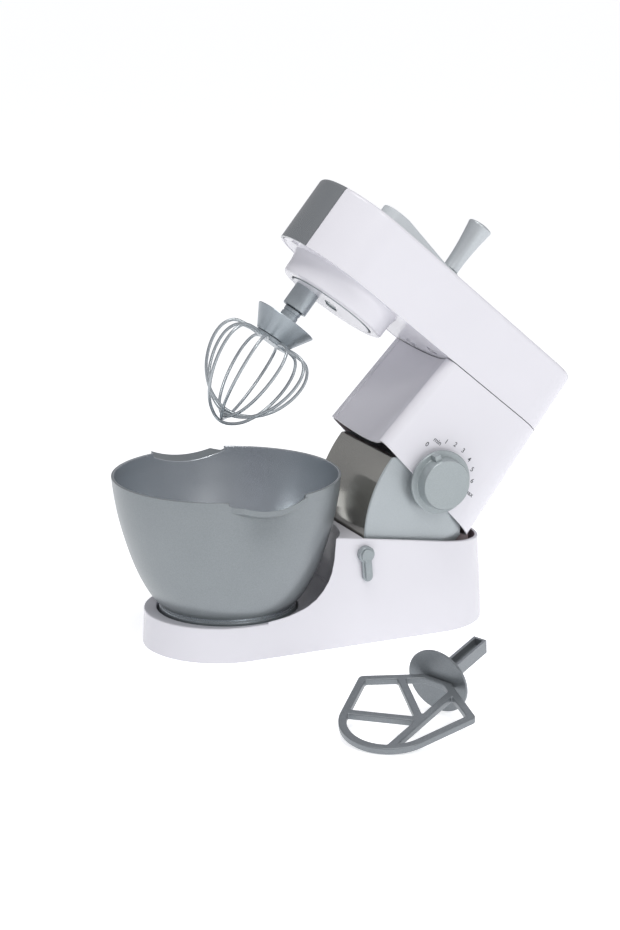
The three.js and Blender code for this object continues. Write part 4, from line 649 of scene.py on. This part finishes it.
def nose_wedge(half_angle, inner, low=100, high=230):
    """A pie slice about the nose's centre, without its core."""
    reach, first = 90, math.radians(180 - half_angle)
    start = (nose_x + reach * math.cos(first), reach * math.sin(first))
    core = turned([(0, low - 5), (inner, low - 5), (inner, high + 5), (0, high + 5)], 128)
    moved(core, Matrix.Translation((nose_x, 0, 0)))
    return carved(pushed(low, high, (nose_x, 0), start, ((nose_x, 0), 2 * half_angle, 24)), core)


inside = carved(head_form(head_wall, head_low - 20), nose_wedge(32, band_inner - band_gap - head_wall))
cover = carved(carved(head_form(0, head_low, seam_z), inside), nose_wedge(band_angle, band_inner - band_gap))
cover = carved(cover, nose_wedge(band_angle, 40, 100, seat_top))
head_shell = made("head_cover", cover, white_abs, tipped)
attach(head_shell, "head")
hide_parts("head_shell")


# Nose band: a curved plate in dark silver ABS, polished, that clips into the seat at the nose and
# stands flush with the white around it.
band_abs = silver_finish("polished dark silver ABS", "#8f9396", "#a9adaf", 0.24, 0.75, 0.3)
band = carved(head_form(0, head_low, seam_z), nose_wedge(band_angle - 0.25, band_inner), "INTERSECT")
band = eased(band, 0.3, 2, lambda e: highest(e) < 198, 60)
nose_band = made("nose_plate", band, band_abs, tipped)
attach(nose_band, "head")
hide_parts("nose_band")


# Underside of the head: a white ABS plate with the round hub skirt that hides the gears, held by
# screws sunk in round pockets.
plate_inset, plate_low, plate_top = 2.5, 153.9, 156.8
hub_bore, hub_mouth, hub_roof = 33.6, 136, 155.6
pocket_x, pocket_y, pocket_radius = 77, 17, 4.6
skirt_side = [(37.6, hub_mouth), (38.9, 136.2), (40.3, 136.9), (41, 138.4), (41.1, 141), (41.2, 145), (41.5, 148),
              (42.1, 151), (43.2, 154.9), (43.2, hub_roof)]
plate = between(head_outline(plate_inset, 140, head_rear), head_outline(plate_inset, 170, head_rear))
plate = trimmed(trimmed(plate, 0, plate_top, seam_slope, False), 0, plate_low, seam_slope, True)
skirt = turned([(hub_bore, 136.4), (34.2, hub_mouth)] + skirt_side + [(hub_bore, hub_roof)], 128)
plate = carved(eased(plate, 0.2, 2), skirt, "UNION")
nose_room = nose_wedge(34, band_inner - 2 * band_gap - head_wall)
plate = carved(plate, carved(nose_room, nose_wedge(band_angle - 0.3, 30, 90, 240)))
plate = carved(plate, nose_wedge(band_angle + 1, band_inner - 0.25))
for y in (-pocket_y, pocket_y):
    pocket = turned([(0, 140), (pocket_radius, 140), (pocket_radius, hub_roof), (0, hub_roof)], 40)
    plate = carved(plate, moved(pocket, Matrix.Translation((pocket_x, y, 0))))
underside = made("head_floor", plate, white_abs, tipped)
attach(underside, "head")
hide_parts("head_underside")


# Hinge drum: a smooth grey ABS sector round the hinge that closes the gap between pillar and base.
# Its front is polished and its cheeks are satin.
drum_radius, drum_half, drum_wall, drum_rear = 90, 43.3, 2.2, 172.1
cheek_radius, axle_room, swing_gap, drum_top = 59.4, 12, 0.5, 130


def kept_in_base(bm, inset):
    """Keeps what lies inside the base, head closed and head open; what is inset ends above the drum's top."""
    for place in (Matrix.Identity(4), tipped.inverted()):
        room = moved(base_form(base_wall + swing_gap + inset, -20, drum_top + inset), place)
        bm = carved(bm, room, "INTERSECT")
    return bm


def sector(radius, half, inner, low, high, chamfer=1.0):
    """A pie slice about the hinge axis with chamfered rims, between two angles above level."""
    bm = bmesh.new()
    edge = [(inner, -half), (radius - chamfer, -half), (radius, chamfer - half), (radius, half - chamfer),
            (radius - chamfer, half), (inner, half)]
    turn = Matrix.Rotation(math.radians(high), 4, "Y")
    face = bm.faces.new([bm.verts.new(turn @ Vector((-r, y, 0))) for r, y in edge])
    bmesh.ops.spin(bm, geom=[face], cent=(0, 0, 0), axis=(0, 1, 0), dvec=(0, 0, 0),
                   angle=math.radians(low - high), steps=48, use_duplicate=False)
    moved(bm, Matrix.Translation(pivot))
    bmesh.ops.recalc_face_normals(bm, faces=bm.faces)
    return bm


cheeks = sector(cheek_radius, drum_half, axle_room, low=-72, high=-40)
cheeks = carved(cheeks, block(0, drum_rear, 0, 160, -60, 60), "INTERSECT")
front = sector(drum_radius, drum_half, axle_room, low=-41, high=14)
drum_outer = kept_in_base(carved(front, cheeks, "UNION"), 0)
hollow = sector(drum_radius - drum_wall, drum_half - drum_wall, 2, low=-102, high=40)
drum_inner = kept_in_base(hollow, drum_wall)
drum = eased(carved(drum_outer, drum_inner), 0.4, 2)
drum_abs = silver_finish("polished olive-grey ABS", "#aaa9a2", "#bdbcb5", 0.12, 0.7)
cheek_abs = silver_finish("satin blue-grey ABS", "#a6adb0", "#bac1c4", 0.34, 0.35)
hinge_drum = made("drum_cover", drum, drum_abs, tipped, cheek_abs, lambda f: abs(f.normal.y) > 0.3)
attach(hinge_drum, "head")
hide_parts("hinge_drum")


# Crank arm: pale grey ABS, thick at the shaft and thin at the knob, with a rounded top edge. Its
# shaft stands on the axis of the carrier disc.
pale_abs = silver_finish("pale grey ABS", "#bfc5c8", "#d2d7d9", 0.38, 0.1)
crank_reach, arm_low, arm_high, arm_thin, arm_width, arm_tip = 60, 204.2, 215.6, 208.8, 20, 16
arm = rounded_bar(arm_width, arm_tip, crank_reach, arm_low, arm_high, 32)
arm = carved(arm, slab([(7, arm_high), (52, arm_thin), (90, arm_thin), (90, 230), (7, 230)], -30, 30))
arm = eased(arm, 1.4, 4, lambda e: lowest(e) > 205, 40)
crank_arm = made("crank_handle", arm, pale_abs, tipped)
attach(crank_arm, "crank")
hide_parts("crank_arm")


# Knob: a flared silver-pigmented ABS grip with a slightly domed top. It turns freely on a steel
# pin, in a blind bore.
knob_abs = silver_finish("silver ABS of the knob", "#b6bcbf", "#d2d7da", 0.38, 0.6)
knob_side = flowing([(5.9, 209.7), (5.95, 214), (6.3, 222), (7.1, 231), (8.3, 240), (9.1, 245.2)], 5)
knob_top = [(9.3, 246.0), (9.1, 246.7), (8.5, 247.2), (6.4, 247.8), (3.2, 248.2), (0, 248.3)]
knob_low, bore_radius, bore_top = 209.2, 2.5, 239.2
knob_form = turned([(bore_radius, knob_low), (5.4, knob_low)] + knob_side + knob_top
                   + [(0, bore_top), (bore_radius, bore_top)], 64)
crank_knob = made("grip_knob", moved(knob_form, Matrix.Translation((crank_reach, 0, 0))), knob_abs, tipped)
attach(crank_knob, "knob")
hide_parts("crank_knob")


# Carrier disc and tool socket: a white ABS disc that turns in the hub, and a silver socket set off
# its centre. The disc is screwed to the shaft in a short slot.
slot_angle, slot_width, slot_length, slot_floor = math.radians(235), 9, 14, 136.6
disc_low, disc_high, disc_edge = 135.5, 138.6, 32.1
socket_reach, socket_angle, socket_mouth = 19.6, math.radians(145), 118.9
socket_x, socket_y = socket_reach * math.cos(socket_angle), socket_reach * math.sin(socket_angle)


def rim_and_slot_painted_dark(face):
    """Whether a face belongs to the disc's edge or to the walls of its slot, which get a darker grey as painted
    shade.
    """
    spot = face.calc_center_median()
    return 135.6 < spot.z < 138.4 and not 13 <= spot.xy.length <= 31.8


disc = turned([(0, disc_low), (31.7, disc_low), (disc_edge, 135.9), (disc_edge, 138.3), (31.7, disc_high),
               (0, disc_high)], 96)
slot_form = rounded_bar(slot_width, slot_width, slot_length, 130, slot_floor, 16)
slot_form = moved(slot_form, Matrix.Translation((-slot_length / 2, 0, 0)))
slot_form = moved(slot_form, Matrix.Rotation(slot_angle, 4, "Z"))
disc = eased(carved(disc, slot_form), 0.35, 2, lambda e: highest(e) < 137.8)
# Painted shade: the disc's edge and the slot walls get the darker silver grey, standing in for the shadow in the
# gap and the slot.
carrier = made("carrier_plate", disc, white_abs, tipped, lever_abs, rim_and_slot_painted_dark)
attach(carrier, "crank")
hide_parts("carrier_disc")

socket_form = turned([(7.1, 119.3), (7.5, socket_mouth), (8.9, socket_mouth), (9.3, 119.3), (9.3, 135.5),
                      (8.9, 135.9), (4, 135.9), (4, 132.9), (7.1, 132.9)], 64)
socket = made("tool_socket", moved(socket_form, Matrix.Translation((socket_x, socket_y, 0))), silver_abs, tipped)
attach(socket, "spindle")
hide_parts("spindle_socket")


# Whisk: five sprung loops of round wire, silver-coated, crossing at the tip, held by a cap in a
# flared silver collar. It hangs a little askew in its loose socket, and its wire cage leans further.
whisk_askew, cage_askew = math.radians(0.3), math.radians(-3.4)
whisk_place = (tipped @ Matrix.Translation((socket_x, socket_y, socket_mouth))
               @ Matrix.Rotation(whisk_askew, 4, "Y"))
whisk_abs = silver_finish("silver ABS of the whisk", "#9aa2a7", "#b4bcc2", 0.34, 0.7)
collar_form = turned([(0, 12), (3.8, 12), (4.4, 11.4), (4.4, 0), (6.1, -0.3), (6.5, -0.7), (6.5, -3.1),
                      (6.0, -3.4), (6.0, -4.4), (6.5, -4.7), (6.5, -12.5), (7.2, -12.9), (21.4, -9.9),
                      (22.1, -9.4), (22.8, -9.5), (23, -10.1), (14.1, -24.6), (13.6, -25), (0, -25)], 72)
collar = made("whisk_flare", collar_form, whisk_abs, whisk_place)
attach(collar, "whisk")
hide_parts("whisk_collar")

cap_form = turned([(0, -25.3), (12.8, -25.3), (13.2, -25.7), (13.2, -28.2), (12.6, -28.7), (0, -28.7)], 72)
cap = made("whisk_plug", cap_form, whisk_abs, whisk_place)
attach(cap, "whisk")
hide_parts("whisk_cap")

wire_paint = silver_finish("silver-coated wire", "#a3a9ad", "#bfc5c8", 0.3, 0.7)
cage_radius, cage_length, length_step, wire_root, wire_radius, wires = 36, 65.8, 2.2, -27.4, 1.15, 5
wire_line = [(0.367, 0.0), (0.56, -0.01), (0.82, 0.02), (0.965, 0.135), (1, 0.3), (0.94, 0.5), (0.79, 0.7),
             (0.55, 0.87), (0.26, 0.97), (0, 1)]
cage_lean = (Matrix.Translation((0, 0, wire_root)) @ Matrix.Rotation(cage_askew, 4, "Y")
             @ Matrix.Translation((0, 0, -wire_root)))
for i in range(wires):
    length = cage_length - length_step * i
    half = [(share * cage_radius, wire_root - drop * length) for share, drop in wire_line]
    route = flowing(half + [(-r, z) for r, z in reversed(half[:-1])], 6)
    turn = whisk_place @ cage_lean @ Matrix.Rotation(math.pi / wires * (i + 0.5), 4, "Z")
    curve = bpy.data.curves.new(f"wire_loop_{i + 1}", "CURVE")
    curve.dimensions = "3D"
    curve.bevel_depth, curve.bevel_resolution, curve.use_fill_caps = wire_radius * MM, 3, True
    line = curve.splines.new("POLY")
    line.points.add(len(route) - 1)
    for point, (r, z) in zip(line.points, route):
        point.co = (*((turn @ Vector((r, 0, z))) * MM), 1)
    line.use_smooth = True
    curve.materials.append(wire_paint)
    wire = bpy.data.objects.new(f"wire_loop_{i + 1}", curve)
    scene.collection.objects.link(wire)
    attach(wire, "whisk")
    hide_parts(f"whisk_wire_{i + 1}")


# Speed dial: a silver-pigmented ABS knob with a flange and a square pointer, and its numbers printed
# in grey on the pillar beside it.
dial_x, dial_z = 124.2, 80.2
dial_place = tipped @ Matrix.Translation((dial_x, -side_y, dial_z)) @ Matrix.Rotation(math.radians(90), 4, "X")
dial_abs = silver_finish("silver ABS of the dial", "#959d9f", "#b1b9bb", 0.38, 0.4)
flange_low, flange_top, dial_front, axle_radius, pointer_turn = 3.9, 6.6, 15.6, 3.3, math.radians(180 - 34.6)
dial_form = turned([(axle_radius, -1.1), (7.5, -1.1), (7.5, flange_low), (22.2, flange_low),
                    (22.7, flange_low + 0.5), (22.7, flange_top - 0.6), (22.1, flange_top),
                    (18.9, flange_top), (18.5, flange_top + 0.4), (18, dial_front - 0.9),
                    (17.2, dial_front), (0, dial_front), (0, flange_top), (axle_radius, flange_top)], 96)
pointer = moved(block(10, 22.2, 0, 6.5, -2.3, 2.3), Matrix.Translation((0, 0, flange_top - 0.2)))
dial_form = carved(dial_form, moved(pointer, Matrix.Rotation(pointer_turn, 4, "Z")), "UNION")
dial_form = eased(dial_form, 0.3, 2, lambda e: lowest(e) > flange_top - 0.5, 50)
dial = made("dial_grip", dial_form, dial_abs, dial_place)
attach(dial, "dial")
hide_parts("dial_knob")

ink, tree, output = empty_finish("dark grey pad-printing ink")
place = add(tree, "ShaderNodeTexCoord")
wear = add(tree, "ShaderNodeTexNoise", {"Vector": place.outputs["Object"], "Scale": 1500})
tone = add(tree, "ShaderNodeMix", {"Factor": wear.outputs["Fac"], "A": linear("#3c4044"), "B": linear("#575b60")},
           data_type="RGBA")
shade = add(tree, "ShaderNodeBsdfPrincipled", {"Base Color": tone.outputs[2], "Roughness": 0.5})
tree.links.new(shade.outputs["BSDF"], output.inputs["Surface"])
marks = [("0", 33.8), ("min", 51), ("1", 65.2), ("2", 80.9), ("3", 97.2), ("4", 114.8), ("5", 130.9),
         ("6", 148.2), ("max", 166.3)]
mark_reach, mark_size = 28, 4.7
for text, angle in marks:
    letters = bpy.data.curves.new(f"mark_{text}", "FONT")
    letters.body, letters.size, letters.align_x, letters.align_y = text, mark_size, "CENTER", "CENTER"
    letters.offset, letters.extrude = 0.05, 0.03
    typed = bpy.data.objects.new(f"mark_{text}", letters)
    scene.collection.objects.link(typed)
    bm = bmesh.new()
    bm.from_mesh(typed.evaluated_get(bpy.context.evaluated_depsgraph_get()).to_mesh())
    bpy.data.curves.remove(letters)
    turn = math.radians(180 - angle)
    spot = dial_place @ Matrix.Translation((mark_reach * math.cos(turn), mark_reach * math.sin(turn), 0.04))
    mark = made(f"mark_{text}", bm, ink, spot)
    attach(mark, "head")


# Loose K beater: dark silver ABS. A flat blade with two slanting ribs and a spine, behind a round
# guard disc on a channelled shaft. It lies on its disc's rim and its round end.
beater_abs = silver_finish("dark silver ABS of the beater", "#777c80", "#93989c", 0.34, 0.5)
yaw, pitch, roll = math.radians(29.2), math.radians(12.6), math.radians(5.7)
guard_middle = (68.1, -194.5, 21.78)
beater_place = (Matrix.Translation(guard_middle) @ Matrix.Rotation(yaw, 4, "Z")
                @ Matrix.Rotation(-pitch, 4, "Y") @ Matrix.Rotation(roll, 4, "X"))
blade_half, blade_bar, arc_x, arc_r = 2.3, 5.2, -53.9, 32.65
shoulder_x, shoulder_y, top_x, top_y, spine_y = -24.4, 44.4, -5.1, 16.7, -16.4
guard_side = [(11, 0), (17, -0.3), (21.7, -0.9), (22.1, -0.5), (22.0, 0.6), (21.6, 0.9), (17, 1.4), (11, 1.8)]
stem_half, stem_end = 4.8, 50.7


def blade_outline(inset, height, steps=48):
    """The blade's outline: a round end, straight sides out to the shoulders and a blunt top."""
    reach = math.hypot(shoulder_x - arc_x, shoulder_y)
    tangent = math.atan2(shoulder_y, shoulder_x - arc_x) + math.acos(arc_r / reach)
    side = Vector((math.cos(tangent), math.sin(tangent)))
    run = Vector((top_x - shoulder_x, top_y - shoulder_y)).normalized()
    top = Vector((-run.y, run.x))
    side_reach = side.x * arc_x + arc_r - inset
    top_reach = top.x * shoulder_x + top.y * shoulder_y - inset
    across = side.x * top.y - side.y * top.x
    corner_x = (side_reach * top.y - top_reach * side.y) / across
    corner_y = (top_reach * side.x - side_reach * top.x) / across
    start = (arc_x + (arc_r - inset) * side.x, (arc_r - inset) * side.y)
    degrees = 360 - 2 * math.degrees(tangent)
    return lambda bm: traced(bm, start, ((arc_x, 0), degrees, steps), (corner_x, -corner_y),
                             (top_reach / top.x, 0), (corner_x, corner_y), height=height)


def rib(x0, y0, x1, y1):
    """A straight bar between two points, taller than the blade."""
    first, last = Vector((x0, y0)), Vector((x1, y1))
    along = (last - first).normalized()
    side = Vector((-along.y, along.x)) * (blade_bar / 2)
    return pushed(-20, 20, *[tuple(corner) for corner in (first + side, first - side, last - side, last + side)])


def upright(edge):
    """Whether an edge runs from one face of the blade to the other."""
    return abs(edge.verts[0].co.z - edge.verts[1].co.z) > 1


windows = between(blade_outline(blade_bar, -9), blade_outline(blade_bar, 9))
spine_low = arc_x - math.sqrt((arc_r - blade_bar / 2) ** 2 - spine_y ** 2)
spine = rib(spine_low - 3, spine_y, -5, spine_y)
for bar in (spine, rib(-44.7, -16, -11.4, 21.4), rib(-44.6, -15.5, -63, 31), block(-5, 6, -12, 12, -20, 20)):
    windows = carved(windows, bar)
windows = eased(windows, 1.6, 3, upright, 30)
blade = eased(between(blade_outline(0, -blade_half), blade_outline(0, blade_half)), 2.4, 4, upright, 30)
blade = carved(carved(blade, windows), block(-0.9, 30, -20, 20, -60, 60))
beater_blade = made("beater_frame", eased(blade, 0.8, 3, sharper_than=50), beater_abs, beater_place)
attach(beater_blade, "beater")
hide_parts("beater_blade")

guard = moved(turned([(0, 0)] + guard_side + [(0, 1.8)], 80), Matrix.Rotation(math.radians(90), 4, "Y"))
stem = block(0.5, stem_end, -stem_half, stem_half, -stem_half, stem_half)
channel = block(4, stem_end - 2, 0, 9, -2.8, 2.8)
shaft = carved(carved(guard, stem, "UNION"), channel)
shaft = eased(shaft, 0.4, 2, lambda e: min(v.co.x for v in e.verts) > 2, 50)
beater_shaft = made("beater_stem", shaft, beater_abs, beater_place)
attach(beater_shaft, "beater")
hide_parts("beater_shaft")
